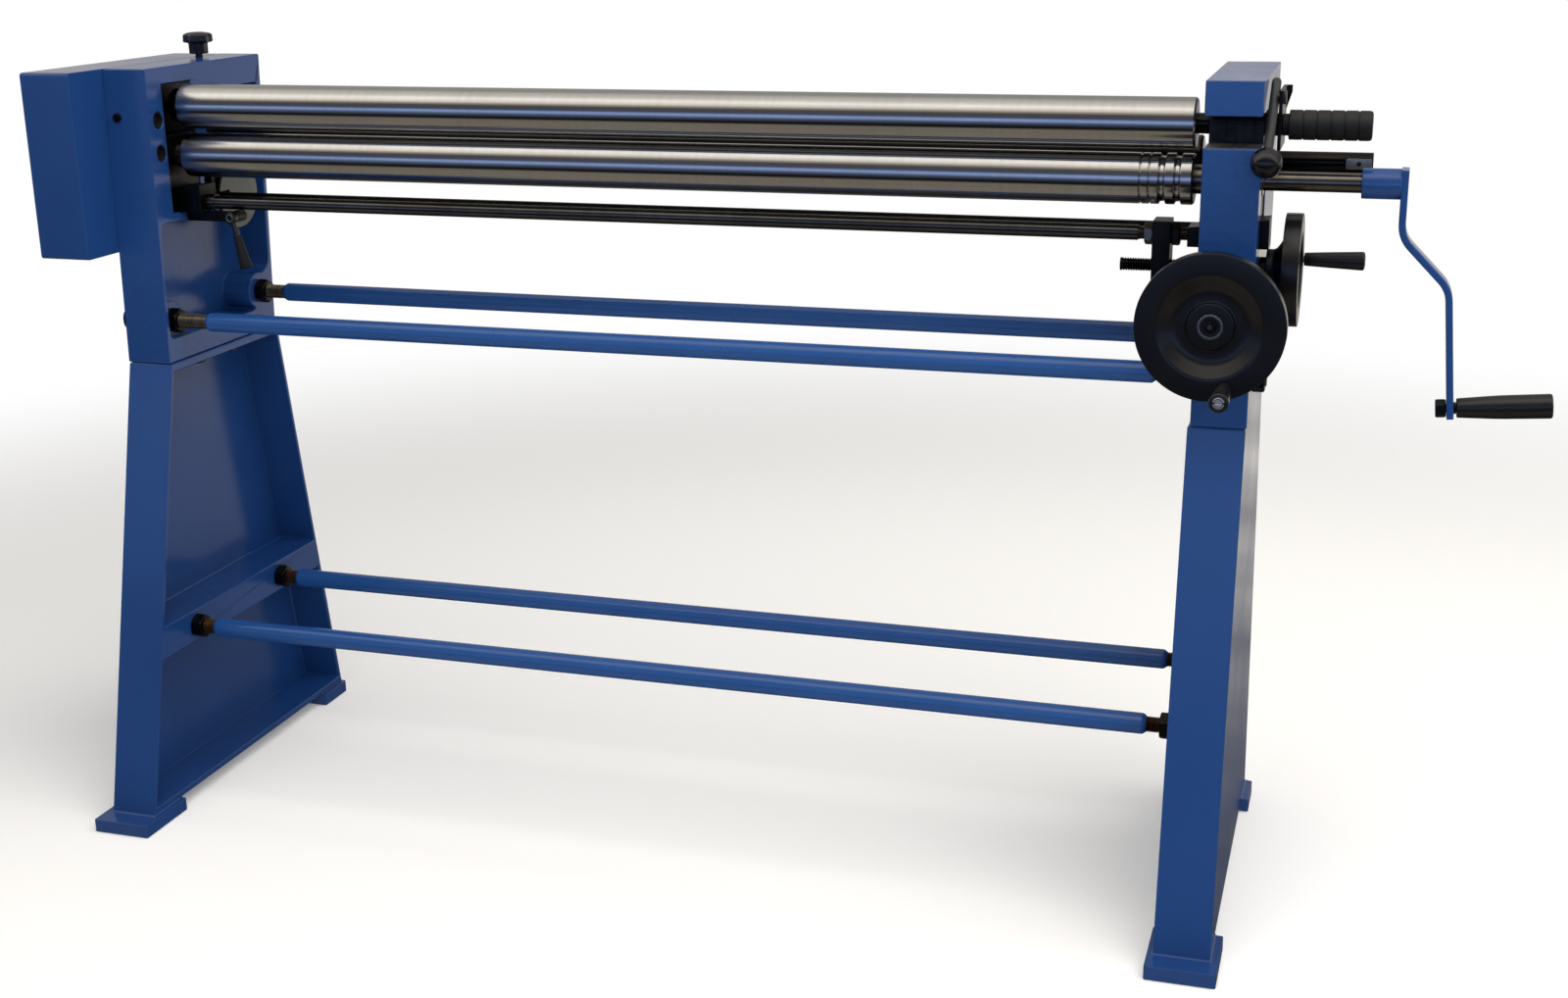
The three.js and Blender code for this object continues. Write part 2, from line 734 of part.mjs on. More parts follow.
// Sheet cover over the gears: a box that is open towards the housing
function gearCover() {
  const outerX = [-coverOuter, -housingOuter - seatGap];
  const insideTop = housingTop - coverSheet;
  const insideBottom = coverBottom + coverSheet;
  const shell = sideExtrusion(
    roundedRectangle([coverFront, housingRearTop], [coverBottom, housingTop], coverCorner), outerX);
  const inside = sideExtrusion(
    roundedRectangle(
      [coverFront + coverSheet, housingRearTop - coverSheet],
      [insideBottom, insideTop], coverCorner - coverSheet),
    [-coverOuter + coverSheet, outerX[1] - coverSheet]);
  const mouth = block(
    [outerX[1] - coverSheet - 1, outerX[1] + past],
    [housingFrontTop + coverFlange, housingRearTop - coverFlange - coverSheet],
    [insideBottom + coverFlange, insideTop - coverFlange]);
  return cut(shell, inside, mouth);
}

// Tie rod: a thick bar with a turned and threaded stud at each end
function tieRod(rod) {
  const seat = rod.through ? housingOuter + nutLength : standInner + standWall + weldNutLength;
  const end = seat + seatGap + studPastNut;
  return turned('x', [
    [0, -end], [studRadius - 1.5, -end], [studRadius, -end + 1.5], [studRadius, -rod.end],
    [tieRadius - tieChamfer / 2, -rod.end], [tieRadius, -rod.end + tieChamfer],
    [tieRadius, rod.end - tieChamfer], [tieRadius - tieChamfer / 2, rod.end],
    [studRadius, rod.end],
    [studRadius, end - 1.5], [studRadius - 1.5, end], [0, end],
  ], [0, rod.y, rod.z], shaftFacets);
}

function tieNut(side, rod, outside) {
  const face = rod.through ? housingInner : standInner;
  const near = outside ? housingOuter + seatGap : face + rod.sunk - seatGap - nutLength;
  const ends = reach(side, near, near + nutLength).sort((a, b) => a - b);
  return hexagon('x', nutFlats, ends, [0, rod.y, rod.z], studRadius + seatGap);
}

// Bolt from below: its head under the stand's top plate, its shank in the housing
function housingBolt(side, y) {
  const underside = housingBottom - standTopPlate - seatGap;
  const centre = [side * boltX, y, 0];
  return join(
    hexagon('z', boltFlats, [underside - boltHead, underside], centre),
    bar('z', boltRadius, [underside - 1, underside + boltLength], centre, smallFacets));
}

// Lower roll: chamfered barrel with wire grooves, gear shaft on the left, crank shaft on the right
function lowerRoll() {
  const grooves = wireGrooves.flatMap(({ fromEnd, width, depth }) => {
    const x = rollEnd - fromEnd;
    return [
      [rollRadius, x - width / 2], [rollRadius - depth, x - width / 6],
      [rollRadius - depth, x + width / 6], [rollRadius, x + width / 2],
    ];
  });
  return turned('x', [
    [0, -gearShaftEnd], [driveShaftRadius, -gearShaftEnd], [driveShaftRadius, -housingOuter],
    [neckRadius, -housingOuter], [neckRadius, -rollEnd],
    [rollRadius - rollChamfer, -rollEnd], [rollRadius, -rollEnd + rollChamfer],
    ...grooves,
    [rollRadius, rollEnd - rollChamfer], [rollRadius - rollChamfer, rollEnd],
    [neckRadius, rollEnd], [neckRadius, housingOuter], [crankShaftRadius, housingOuter],
    [crankShaftRadius, crankArmX - seatGap], [0, crankArmX - seatGap],
  ], [0, 0, lowerAxisZ], rollFacets);
}

// Upper roll: coupling ball with a cross pin on the left, slim journal on the right
function upperRoll() {
  const ballPoints = [];
  const ballSteps = 8;
  const neckAngle = Math.asin(couplingNeck / couplingBall);
  for (let i = 0; i <= ballSteps; i += 1) {
    const angle = Math.PI - (i / ballSteps) * (Math.PI - neckAngle);
    ballPoints.push([couplingBall * Math.sin(angle), couplingX + couplingBall * Math.cos(angle)]);
  }
  ballPoints[0][0] = 0;
  const shaft = turned('x', [
    ...ballPoints,
    [couplingNeck, -rollEnd],
    [rollRadius - rollChamfer, -rollEnd], [rollRadius, -rollEnd + rollChamfer],
    [rollRadius, rollEnd - rollChamfer], [rollRadius - rollChamfer, rollEnd],
    [dropShoulder, rollEnd], [dropShoulder, dropShoulderEnd], [dropJournal, dropShoulderEnd],
    [dropJournal, gripEnd - gripRadius], [0, gripEnd - gripRadius],
  ], [0, 0, upperAxisZ], rollFacets);
  const pin = bar('z', crossPinRadius, [upperAxisZ - crossPinHalf, upperAxisZ + crossPinHalf],
    [couplingX, 0, 0], smallFacets);
  return join(shaft, pin);
}

// Stub shaft that carries the upper gear and ends in the slotted cup of the coupling
function driveStub() {
  const cupBottom = couplingX - couplingBall - couplingPlay;
  const bore = couplingBall + couplingPlay;
  const body = turned('x', [
    [0, -gearShaftEnd], [driveShaftRadius, -gearShaftEnd], [driveShaftRadius, -housingOuter],
    [cupRadius, -housingOuter], [cupRadius, cupMouth], [bore, cupMouth], [bore, cupBottom],
    [0, cupBottom],
  ], [0, 0, upperAxisZ], rollFacets);
  const slot = block(
    [couplingX - crossSlotDepth, cupMouth + past], [-crossSlotHalf, crossSlotHalf],
    [upperAxisZ - cupRadius - past, upperAxisZ + cupRadius + past]);
  return cut(body, slot);
}

// Left end of a pinch roll runs in a block that fills its part of the window
function driveBearing() {
  const body = block(
    reach(-1, housingInner + 1, housingOuter - 1),
    [-windowHalf + seatGap, windowHalf - seatGap],
    [lowerBlockTop + 5, windowTop - seatGap]);
  return cut(body, hole('x', cupRadius + runGap,
    reach(-1, housingInner - past, housingOuter + past), [0, 0, upperAxisZ]));
}

// Involute spur gear, with a tooth on the +Z side
function gear(axisZ) {
  const pitch = (gearModule * gearTeeth) / 2;
  const base = pitch * Math.cos(pressureAngle);
  const involute = (angle) => Math.tan(angle) - angle;
  const halfAtPitch = (Math.PI * gearModule / 2 - gearBacklash) / 2 / pitch;
  const outer = pitch + gearAddendum;
  const root = pitch - gearDedendum;
  const halfAngle = (radius) => (
    halfAtPitch + involute(pressureAngle) - involute(Math.acos(Math.min(1, base / radius))));
  const shape = new THREE.Shape();
  const polar = (radius, angle) => [radius * Math.sin(angle), axisZ + radius * Math.cos(angle)];
  for (let tooth = 0; tooth < gearTeeth; tooth += 1) {
    const middle = (-2 * Math.PI * tooth) / gearTeeth;
    const flank = [[root, halfAngle(base)]];
    for (let i = 0; i <= flankSteps; i += 1) {
      const radius = base + ((outer - base) * i) / flankSteps;
      flank.push([radius, halfAngle(radius)]);
    }
    const right = flank.map(([radius, angle]) => polar(radius, middle + angle));
    const left = flank.map(([radius, angle]) => polar(radius, middle - angle)).reverse();
    for (const [y, z] of [...right, ...left]) {
      if (shape.curves.length || shape.currentPoint.x) shape.lineTo(y, z);
      else shape.moveTo(y, z);
    }
  }
  const teeth = sideExtrusion(shape, [-gearInner - gearWidth, -gearInner]);
  const hub = bar('x', gearHubRadius, [-gearInner - 1, -housingOuter - 2 * seatGap],
    [0, 0, axisZ]);
  const bore = hole('x', driveShaftRadius + seatGap,
    [-gearInner - gearWidth - past, -housingOuter + past], [0, 0, axisZ]);
  return cut(join(teeth, hub), bore);
}

// Bearing block of the lower roll: its foot slopes like the wedge that lifts it
function lowerBlock(side) {
  const inner = housingInner + 1;
  const outer = housingOuter - 2;
  const footAt = (x) => (
    drawWedgeMiddleZ + seatGap + drawWedgeSlope * (x - side * drawWedgeMiddleX));
  const body = frontPlate([
    [side * inner, footAt(side * inner)], [side * outer, footAt(side * outer)],
    [side * outer, lowerBlockTop], [side * inner, lowerBlockTop],
  ], [-windowHalf + runGap, windowHalf - runGap]);
  return cut(body, hole('x', neckRadius + runGap, reach(side, inner - past, outer + past),
    [0, 0, lowerAxisZ]));
}

// Wedge on the draw rod; both wedges rise towards the right, so both ends lift alike
function drawWedge(side, { inner, outer }) {
  const topAt = (x) => drawWedgeMiddleZ + drawWedgeSlope * (x - side * drawWedgeMiddleX);
  const [low, high] = reach(side, inner, outer).sort((a, b) => a - b);
  const body = frontPlate([
    [low, drawWedgeBottom], [high, drawWedgeBottom], [high, topAt(high)], [low, topAt(low)],
  ], [-drawWedgeHalf, drawWedgeHalf]);
  const socket = reach(side, inner - past, inner + drawSocketDepth + seatGap);
  const socketRadius = (side < 0 ? drawRodRadius : drawThreadRadius) + seatGap;
  return cut(body, hole('x', socketRadius, socket, [0, 0, drawRodZ]));
}

function drawRod() {
  const collarEnd = -drawWedgeLeft.inner + seatGap;
  return turned('x', [
    [0, -drawWedgeLeft.inner - drawSocketDepth],
    [drawRodRadius, -drawWedgeLeft.inner - drawSocketDepth], [drawRodRadius, collarEnd],
    [drawCollarRadius, collarEnd], [drawCollarRadius, collarEnd + drawCollarLength],
    [drawRodRadius, collarEnd + drawCollarLength], [drawRodRadius, drawThreadStart],
    [drawThreadRadius, drawThreadStart],
    [drawThreadRadius, drawWedgeRight.inner + drawSocketDepth],
    [0, drawWedgeRight.inner + drawSocketDepth],
  ], [0, 0, drawRodZ]);
}

// Upright block that the side screw moves along and that carries the draw rod with it
function rodBracket() {
  const ends = [bracketInner, bracketInner + bracketWidth];
  const cutter = [ends[0] - past, ends[1] + past];
  return cut(
    block(ends, [-bracketHalf, bracketHalf], [bracketBottom, bracketTop]),
    hole('x', drawThreadRadius + seatGap, cutter, [0, 0, drawRodZ]),
    hole('x', sideScrewRadius + runGap, cutter, [0, 0, sideScrewZ]));
}

function rodNut(from) {
  return hexagon('x', rodNutFlats, [from, from + rodNutLength], [0, 0, drawRodZ],
    drawThreadRadius + seatGap);
}

// Handwheel turned about Y or X; distances run from its face inward along -direction
function handwheel(axis, radius, face, direction, centre, handle) {
  const at = (distance) => face - direction * distance;
  const hubLength = Math.abs(handle.hubEnd - face);
  const bore = wheelSpindle + seatGap;
  const outline = [
    [bore, at(hubLength)], [wheelHubRadius - wheelEdge, at(hubLength)],
    [wheelHubRadius, at(hubLength - wheelEdge)], [wheelHubRadius, at(wheelConeFoot)],
    [radius * wheelConeShare, at(wheelRimWidth)], [radius - wheelEdge, at(wheelRimWidth)],
    [radius, at(wheelRimWidth - wheelEdge)], [radius, at(wheelEdge)],
    [radius - wheelEdge, at(0)], [radius * wheelDishOuterShare, at(0)],
    [radius * wheelDishInnerShare, at(wheelDishDepth)],
    [radius * wheelHubFaceShare + wheelEdge, at(wheelDishDepth)],
    [radius * wheelHubFaceShare, at(wheelHubSunk)], [bore, at(wheelHubSunk)],
    [bore, at(hubLength)],
  ];
  const wheel = turned(axis, outline, centre, wheelFacets);
  const ends = [at(handleStudDepth), at(handleStudShort - handleLength)];
  return join(wheel, bar(axis, handleStud, ends, handle.centre, smallFacets));
}

// Tapered revolving sleeve on a handwheel's stud
function handleSleeve(axis, face, direction, centre) {
  const at = (distance) => face + direction * distance;
  const bore = handleStud + seatGap;
  const outline = [
    [bore, at(handleGap)], [handleNeck, at(handleGap)],
    [handleSmall, at(handleGap + handleShoulder)], [handleLarge, at(handleLength - handleRounding)],
    [handleCorner, at(handleLength)], [bore, at(handleLength)], [bore, at(handleGap)],
  ];
  return turned(axis, outline, centre);
}

const onCircle = (radius, degrees) => {
  const angle = (degrees * Math.PI) / 180;
  return [radius * Math.cos(angle), radius * Math.sin(angle)];
};

function sideScrew() {
  const spindleEnd = sideWheelFace - wheelHubSunk + wheelSpindleProud;
  return turned('x', [
    [0, sideScrewEnd], [sideScrewRadius, sideScrewEnd], [sideScrewRadius, housingOuter + seatGap],
    [sideCollarRadius, housingOuter + seatGap],
    [sideCollarRadius, housingOuter + seatGap + sideCollarLength],
    [wheelSpindle, housingOuter + seatGap + sideCollarLength],
    [wheelSpindle, spindleEnd], [0, spindleEnd],
  ], [0, 0, sideScrewZ]);
}

const frontBushFace = frontFaceAt(frontScrewZ - frontBushRadius) - seatGap - frontBushLength;
const frontHubEnd = frontBushFace - 2 * seatGap - sideCollarLength;
const sideHubEnd = housingOuter + 2 * seatGap + sideCollarLength;

function frontBush() {
  return turned('y', [
    [frontScrewRadius + runGap, frontBushFace], [frontBushRadius - 2, frontBushFace],
    [frontBushRadius, frontBushFace + 2], [frontBushRadius, frontBushFace + frontBushLength],
    [frontScrewRadius + runGap, frontBushFace + frontBushLength],
    [frontScrewRadius + runGap, frontBushFace],
  ], [frontScrewX, 0, frontScrewZ]);
}

function frontScrew() {
  const collarFace = frontBushFace - seatGap;
  const spindleEnd = frontWheelFace + wheelHubSunk - wheelSpindleProud;
  return turned('y', [
    [0, spindleEnd], [wheelSpindle, spindleEnd],
    [wheelSpindle, collarFace - sideCollarLength], [sideCollarRadius, collarFace - sideCollarLength],
    [sideCollarRadius, collarFace], [frontScrewRadius, collarFace],
    [frontScrewRadius, frontScrewEnd], [0, frontScrewEnd],
  ], [frontScrewX, 0, frontScrewZ]);
}

// Drop-out bearing: a block with a round top, and its ear and gusset outside the housing
function dropBlock() {
  const width = [dropShoulderEnd + seatGap, housingOuter - 2];
  const body = join(
    bar('x', dropBlockRadius, width, [0, 0, upperAxisZ]),
    block(width, [-dropBlockRadius, dropBlockRadius], [slotBottom + seatGap, upperAxisZ]),
    bar('x', dropBossRadius, [housingOuter - 3, earInner + 1], [0, 0, upperAxisZ]),
    block([earInner, earOuter], [earFront, earRear], [earBottom, earTop]),
    frontPlate([
      [earOuter - 1, earTop], [earOuter + gussetReach, earTop],
      [earOuter + gussetReach, earTop - 8], [earOuter - 1, earTop - gussetDrop],
    ], [earRear - gussetThickness, earRear]));
  const bore = [dropShoulderEnd - past, earOuter + past];
  return cut(
    body,
    hole('x', dropJournal + runGap, bore, [0, 0, upperAxisZ]),
    hole('x', leverPinRadius + runGap, [earInner - past, earOuter + past],
      [0, leverPivotY, leverPivotZ]));
}

// Lever: slanting rod with a ball, on a cross pin that is headed outside the ear
function ballLever() {
  const slope = (leverSlope * Math.PI) / 180;
  const rodAlongZ = turned('z', [
    [0, -leverLength], [leverRadius, -leverLength], [leverRadius, leverTail - leverRadius],
    [leverRadius * 0.7, leverTail - 1.5], [0, leverTail],
  ], [0, 0, 0], smallFacets);
  const ball = solid(new THREE.SphereGeometry(leverBall, ballFacets, ballFacets / 2 + 2).translate(0, 0, -leverLength));
  const turn = 90 - (slope * 180) / Math.PI;
  const lever = join(rodAlongZ, ball).rotate([-turn, 0, 0]).translate([
    leverX, leverPivotY, leverPivotZ]);
  const pin = turned('x', [
    [0, leverX], [leverPinRadius, leverX], [leverPinRadius, earOuter + seatGap],
    [leverPinHead, earOuter + seatGap],
    [leverPinHead, earOuter + seatGap + leverPinHeadLength],
    [0, earOuter + seatGap + leverPinHeadLength],
  ], [0, leverPivotY, leverPivotZ], smallFacets);
  return join(lever, pin);
}

// Ribbed rubber grip on the end of the upper roll's journal
function upperGrip() {
  const start = earOuter + seatGap;
  const barrel = start + gripNeckLength;
  const step = (gripEnd - barrel) / gripRings;
  const rings = [];
  for (let i = 1; i < gripRings; i += 1) {
    const x = barrel + i * step;
    rings.push([gripRadius, x - 1], [gripRadius - gripGroove, x], [gripRadius, x + 1]);
  }
  const bore = dropJournal + seatGap;
  return turned('x', [
    [bore, start], [gripNeckRadius, start], [gripNeckRadius, barrel], [gripRadius, barrel],
    ...rings, [gripRadius, gripEnd - 4], [gripRadius - 4, gripEnd], [0, gripEnd],
    [0, gripEnd - gripRadius + seatGap], [bore, gripEnd - gripRadius + seatGap], [bore, start],
  ], [0, 0, upperAxisZ]);
}

function rearRoll() {
  const body = turned('x', [
    [0, -rearBlockOuter + 1], [rearShaftRadius, -rearBlockOuter + 1],
    [rearShaftRadius, -rollEnd], [rollRadius - rollChamfer, -rollEnd],
    [rollRadius, -rollEnd + rollChamfer], [rollRadius, rollEnd - rollChamfer],
    [rollRadius - rollChamfer, rollEnd], [rearShaftRadius, rollEnd],
    [rearShaftRadius, rearShaftEnd], [0, rearShaftEnd],
  ], [0, rearAxisY, rearAxisZ], rollFacets);
  // Flat for a set screw, on the side that faces the operator
  const flat = block([rearShaftEnd - 32, rearShaftEnd + past],
    [rearAxisY - rearShaftRadius - past, rearAxisY - rearShaftRadius + 2],
    [rearAxisZ - rearShaftRadius, rearAxisZ + rearShaftRadius]);
  return cut(body, flat);
}

// Bearing block of the rear roll: its foot slopes from front to back like its wedge
function rearBlock(side) {
  const footAt = (y) => rearFootZ + rearWedgeSlope * (y - rearWedgeFront);
  const [front, rear] = [rearAxisY - rearBlockHalf, rearAxisY + rearBlockHalf];
  const body = sidePlate([
    [front, footAt(front)], [rear, footAt(rear)], [rear, rearBlockTop], [front, rearBlockTop],
  ], reach(side, housingInner + 1, rearBlockOuter));
  return cut(body, hole('x', rearShaftRadius + runGap,
    reach(side, housingInner - past, housingOuter), [0, rearAxisY, rearAxisZ]));
}

// Both rear wedges are welded to one bar; the right one also has the arm with the screw's nut
function rearWedgeBar() {
  const high = rearWedgeLow + rearWedgeSlope * (rearWedgeRear - rearWedgeFront);
  const wedges = [-1, 1].map((side) => sidePlate([
    [rearWedgeFront, rearWedgeBottom], [rearWedgeRear, rearWedgeBottom],
    [rearWedgeRear, high], [rearWedgeFront, rearWedgeLow],
  ], reach(side, housingInner + 1, rearBlockOuter)));
  const joiner = bar('x', rearBarRadius, [-housingInner - 2, housingInner + 2],
    [0, rearBarY, rearBarZ]);
  const arm = block(
    [frontScrewX - nutArmWidth / 2, frontScrewX + nutArmWidth / 2],
    [rearBarY - nutArmDepth / 2 + 1, rearBarY + nutArmDepth / 2],
    [nutArmBottom, rearWedgeBottom + 1]);
  const thread = hole('y', frontScrewRadius + runGap, [rearBarY - nutArmDepth, rearBarY + nutArmDepth],
    [frontScrewX, 0, frontScrewZ]);
  return cut(join(joiner, ...wedges, arm), thread);
}

// Puts a piece of the crank's handle, made along X from the bar's inner face, into its place
function atHandle(piece) {
  const tilt = (crankTilt * 180) / Math.PI;
  return piece.rotate([0, -tilt, 0]).translate([crankHandleX, 0, crankHandleZ]);
}

// Disc on the left housing's inner face, with a slot that the wedges' bar slides in
function guideDisc() {
  const ends = [-housingInner + seatGap, -housingInner + seatGap + guideDiscThickness];
  const half = rearBarRadius + guideSlotGap;
  const slotEnd = rearBarY + rearTravelDown / rearWedgeSlope + half;
  return cut(
    bar('x', guideDiscRadius, ends, [0, guideDiscY, guideDiscZ], rollFacets),
    block([ends[0] - past, ends[1] + past], [guideDiscY - guideDiscRadius - past, slotEnd],
      [rearBarZ - half, rearBarZ + half]));
}

// Crank: hub on the lower roll's shaft and a flat bar with a double bend
function crankArm() {
  const tail = crankHandleZ - crankBarTail;
  const top = lowerAxisZ + crankHubRadius;
  const tailLean = Math.tan(crankTilt) * (crankKneeLower - tail);
  const outerKnee = crankKneeLower + crankBar / 3;
  const armBar = frontPlate([
    [crankArmX, top], [crankArmX, crankKneeUpper], [crankArmLowX, crankKneeLower],
    [crankArmLowX + tailLean, tail], [crankArmLowX + tailLean + crankBar, tail],
    [crankArmLowX + crankBar, outerKnee], [crankHubEnd, crankKneeUpper + crankBar / 3],
    [crankHubEnd, top],
  ], [-crankBarWidth / 2, crankBarWidth / 2]);
  const hub = bar('x', crankHubRadius, [crankHubStart, crankHubEnd - 1], [0, 0, lowerAxisZ]);
  return cut(
    join(armBar, hub),
    hole('x', crankShaftRadius + seatGap, [crankHubStart - past, crankArmX],
      [0, 0, lowerAxisZ]),
    atHandle(hole('x', spindleRadius + seatGap, [-past, crankBar + past], [0, 0, 0])));
}

function crankSpindle() {
  const collar = crankBar + seatGap;
  const centre = [0, 0, 0];
  return atHandle(join(
    hexagon('x', spindleNutFlats, [-seatGap - spindleNutLength, -seatGap], centre),
    turned('x', [
      [0, -seatGap - 1], [spindleRadius, -seatGap - 1], [spindleRadius, collar],
      [spindleCollar, collar], [spindleCollar, collar + spindleCollarLength],
      [spindleRadius, collar + spindleCollarLength], [spindleRadius, crankGripEnd - spindleShort],
      [0, crankGripEnd - spindleShort],
    ], centre)));
}

function crankGrip() {
  const bore = spindleRadius + runGap;
  const start = crankGripStart;
  return atHandle(turned('x', [
    [bore, start], [crankGripSmall - 1, start], [crankGripSmall, start + crankGripShoulder],
    [crankGripWaist, start + crankGripWaistAt],
    [crankGripLarge, crankGripEnd - crankGripRounding],
    [crankGripCorner, crankGripEnd - crankGripDome], [0, crankGripEnd],
    [0, crankGripEnd - crankGripFloor], [bore, crankGripEnd - crankGripFloor], [bore, start],
  ], [0, 0, 0]));
}

// Star knob: lobed head, hub and screw
function starKnob() {
  const shape = new THREE.Shape();
  const steps = knobLobes * 8;
  for (let i = 0; i < steps; i += 1) {
    const angle = (2 * Math.PI * i) / steps;
    const radius = knobRadius - knobLobeDepth * (0.5 - 0.5 * Math.cos(knobLobes * angle));
    const point = [radius * Math.cos(angle), radius * Math.sin(angle)];
    if (i) shape.lineTo(...point);
    else shape.moveTo(...point);
  }
  const hubBottom = housingTop + knobStemShown;
  const head = new THREE.ExtrudeGeometry(shape, { depth: knobHead, bevelEnabled: false });
  head.translate(knobX, knobY, hubBottom + knobHubHeight);
  return join(
    solid(head),
    bar('z', knobHub, [hubBottom, hubBottom + knobHubHeight + 1], [knobX, knobY, 0]),
    bar('z', knobStem, [housingTop - knobStemDepth, hubBottom + 1], [knobX, knobY, 0],
      smallFacets));
}

// Bracket under the draw rod's left end and the clamp lever on its front
function clampBracket() {
  const boss = bar('y', handleStud + runGap + clampBossWall, [-clampBossHalf, clampBossHalf],
    [clampX, 0, clampZ], smallFacets);
  const arm = block([-housingInner + seatGap, clampX], [-clampArmHalf, clampArmHalf],
    [clampArmTop - clampArmHeight, clampArmTop]);
  return cut(
    join(boss, arm),
    hole('y', handleStud + runGap, [-clampBossHalf - past, 0], [clampX, 0, clampZ],
      smallFacets));
}

function clampLever() {
  const hubFront = -clampBossHalf - runGap - clampHubLength;
  const stem = turned('z', [
    [0, -clampStemLength - 1], [4, -clampStemLength - 1], [3.5, 0], [0, 0],
  ], [0, 0, 0], smallFacets);
  const grip = turned('z', [
    [0, -clampStemLength - clampGripLength], [7, -clampStemLength - clampGripLength],
    [8.5, -clampStemLength - clampGripLength + 4], [5.5, -clampStemLength], [0, -clampStemLength],
  ], [0, 0, 0], smallFacets);
  const hanging = join(stem, grip).rotate([0, -clampSlope, 0]).translate([
    clampX, hubFront + clampHubLength / 2, clampZ]);
  const hub = bar('y', clampHubRadius, [hubFront, hubFront + clampHubLength],
    [clampX, 0, clampZ], smallFacets);
  const pin = bar('y', handleStud, [hubFront + 1, -2], [clampX, 0, clampZ], smallFacets);
  return join(hanging, hub, pin);
}

// Fixed frame
for (const side of [-1, 1]) {
  addPiece(`${sideName[side]}_stand`, stand(side), enamel());
}
addPiece('left_housing', leftHousing(), enamel());
addPiece('right_housing', rightHousing(), enamel());
addPiece('gear_cover', gearCover(), enamel());
for (const rod of tieRods) {
  addPiece(`tie_rod_${rod.name}`, tieRod(rod), enamel());
  for (const side of [-1, 1]) {
    const place = `${rod.name}_${sideName[side]}`;
    addPiece(`nut_${place}`, tieNut(side, rod, false), blackOxide());
    if (rod.through) addPiece(`outer_nut_${place}`, tieNut(side, rod, true), blackOxide());
  }
}
for (const side of [-1, 1]) {
  boltY.forEach((y, index) => {
    const place = `${sideName[side]}_${index ? 'rear' : 'front'}`;
    addPiece(`housing_bolt_${place}`, housingBolt(side, y), blackOxide());
  });
}
addPiece('drive_bearing', driveBearing(), blackOxide());
addPiece('front_bush', frontBush(), blackOxide());
addPiece('guide_disc', guideDisc(), castPlate());
addPiece('clamp_bracket', clampBracket(), blackOxide());

// Lower roll with its blocks, gear and crank
addPiece('lower_block_left', lowerBlock(-1), blackOxide());
addPiece('lower_block_right', lowerBlock(1), blackOxide());
addPiece('lower_roll', lowerRoll(), polishedSteel());
addPiece('lower_gear', gear(lowerAxisZ), bareSteel());
addPiece('crank_arm', crankArm(), enamel());
addPiece('crank_spindle', crankSpindle(), blackOxide());
addPiece('crank_grip', crankGrip(), blackPlastic());

// Upper roll with its drive, drop-out bearing, lever and grip
addPiece('upper_gear', gear(upperAxisZ), bareSteel());
addPiece('drive_stub', driveStub(), bareSteel());
addPiece('upper_roll', upperRoll(), polishedSteel());
addPiece('upper_grip', upperGrip(), rubber());
addPiece('drop_block', dropBlock(), blackOxide());
addPiece('ball_lever', ballLever(), blackOxide());

// Rear roll with its blocks, wedges and front handwheel
addPiece('rear_roll', rearRoll(), polishedSteel());
addPiece('rear_block_left', rearBlock(-1), blackOxide());
addPiece('rear_block_right', rearBlock(1), blackOxide());
addPiece('rear_wedge_bar', rearWedgeBar(), blackOxide());
addPiece('front_screw', frontScrew(), bareSteel());
const [frontHandleX, frontHandleZ] = onCircle(frontHandleRadius, frontHandleAngle);
const frontHandleCentre = [frontScrewX + frontHandleX, 0, frontScrewZ + frontHandleZ];
addPiece('front_handwheel', handwheel('y', frontWheelRadius, frontWheelFace, -1,
  [frontScrewX, 0, frontScrewZ], { hubEnd: frontHubEnd, centre: frontHandleCentre }),
blackPlastic());
addPiece('front_handle', handleSleeve('y', frontWheelFace, -1, frontHandleCentre), blackPlastic());

// Draw rod with its wedges, bracket and side handwheel
addPiece('side_screw', sideScrew(), bareSteel());
const [sideHandleY, sideHandleZ] = onCircle(sideHandleRadius, sideHandleAngle);
const sideHandleCentre = [0, sideHandleY, sideScrewZ + sideHandleZ];
addPiece('side_handwheel', handwheel('x', sideWheelRadius, sideWheelFace, 1,
  [0, 0, sideScrewZ], { hubEnd: sideHubEnd, centre: sideHandleCentre }), blackPlastic());
addPiece('side_handle', handleSleeve('x', sideWheelFace, 1, sideHandleCentre), blackPlastic());
addPiece('draw_rod', drawRod(), polishedSteel());
addPiece('rod_bracket', rodBracket(), blackOxide());
addPiece('rod_nut_inner', rodNut(bracketInner - seatGap - rodNutLength), bareSteel());
addPiece('rod_nut_outer', rodNut(bracketInner + bracketWidth + seatGap), blackOxide());
addPiece('draw_wedge_left', drawWedge(-1, drawWedgeLeft), blackOxide());
addPiece('draw_wedge_right', drawWedge(1, drawWedgeRight), blackOxide());

// Small controls
addPiece('star_knob', starKnob(), blackPlastic());
addPiece('clamp_lever', clampLever(), blackOxide());

// The origin goes to the middle of the footprint
machine.position.set(-(machineRight - coverOuter) / 2, -(footFront + footRear) / 2, 0);
const group = new THREE.Group();
group.add(machine);

export default group;
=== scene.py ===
# %% [markdown]
# # A slip roll, dressed for the camera
# A slip roll bends sheet metal between three long steel rolls. Two cast housings hold the
# rolls, and two sheet-steel stands carry the housings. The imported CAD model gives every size
# and every joint. This lesson gives it smooth turned shapes, real finishes and studio light.

# %% Load the machine
import math

import bmesh
import bpy
import numpy as np
from mathutils import Matrix, Vector


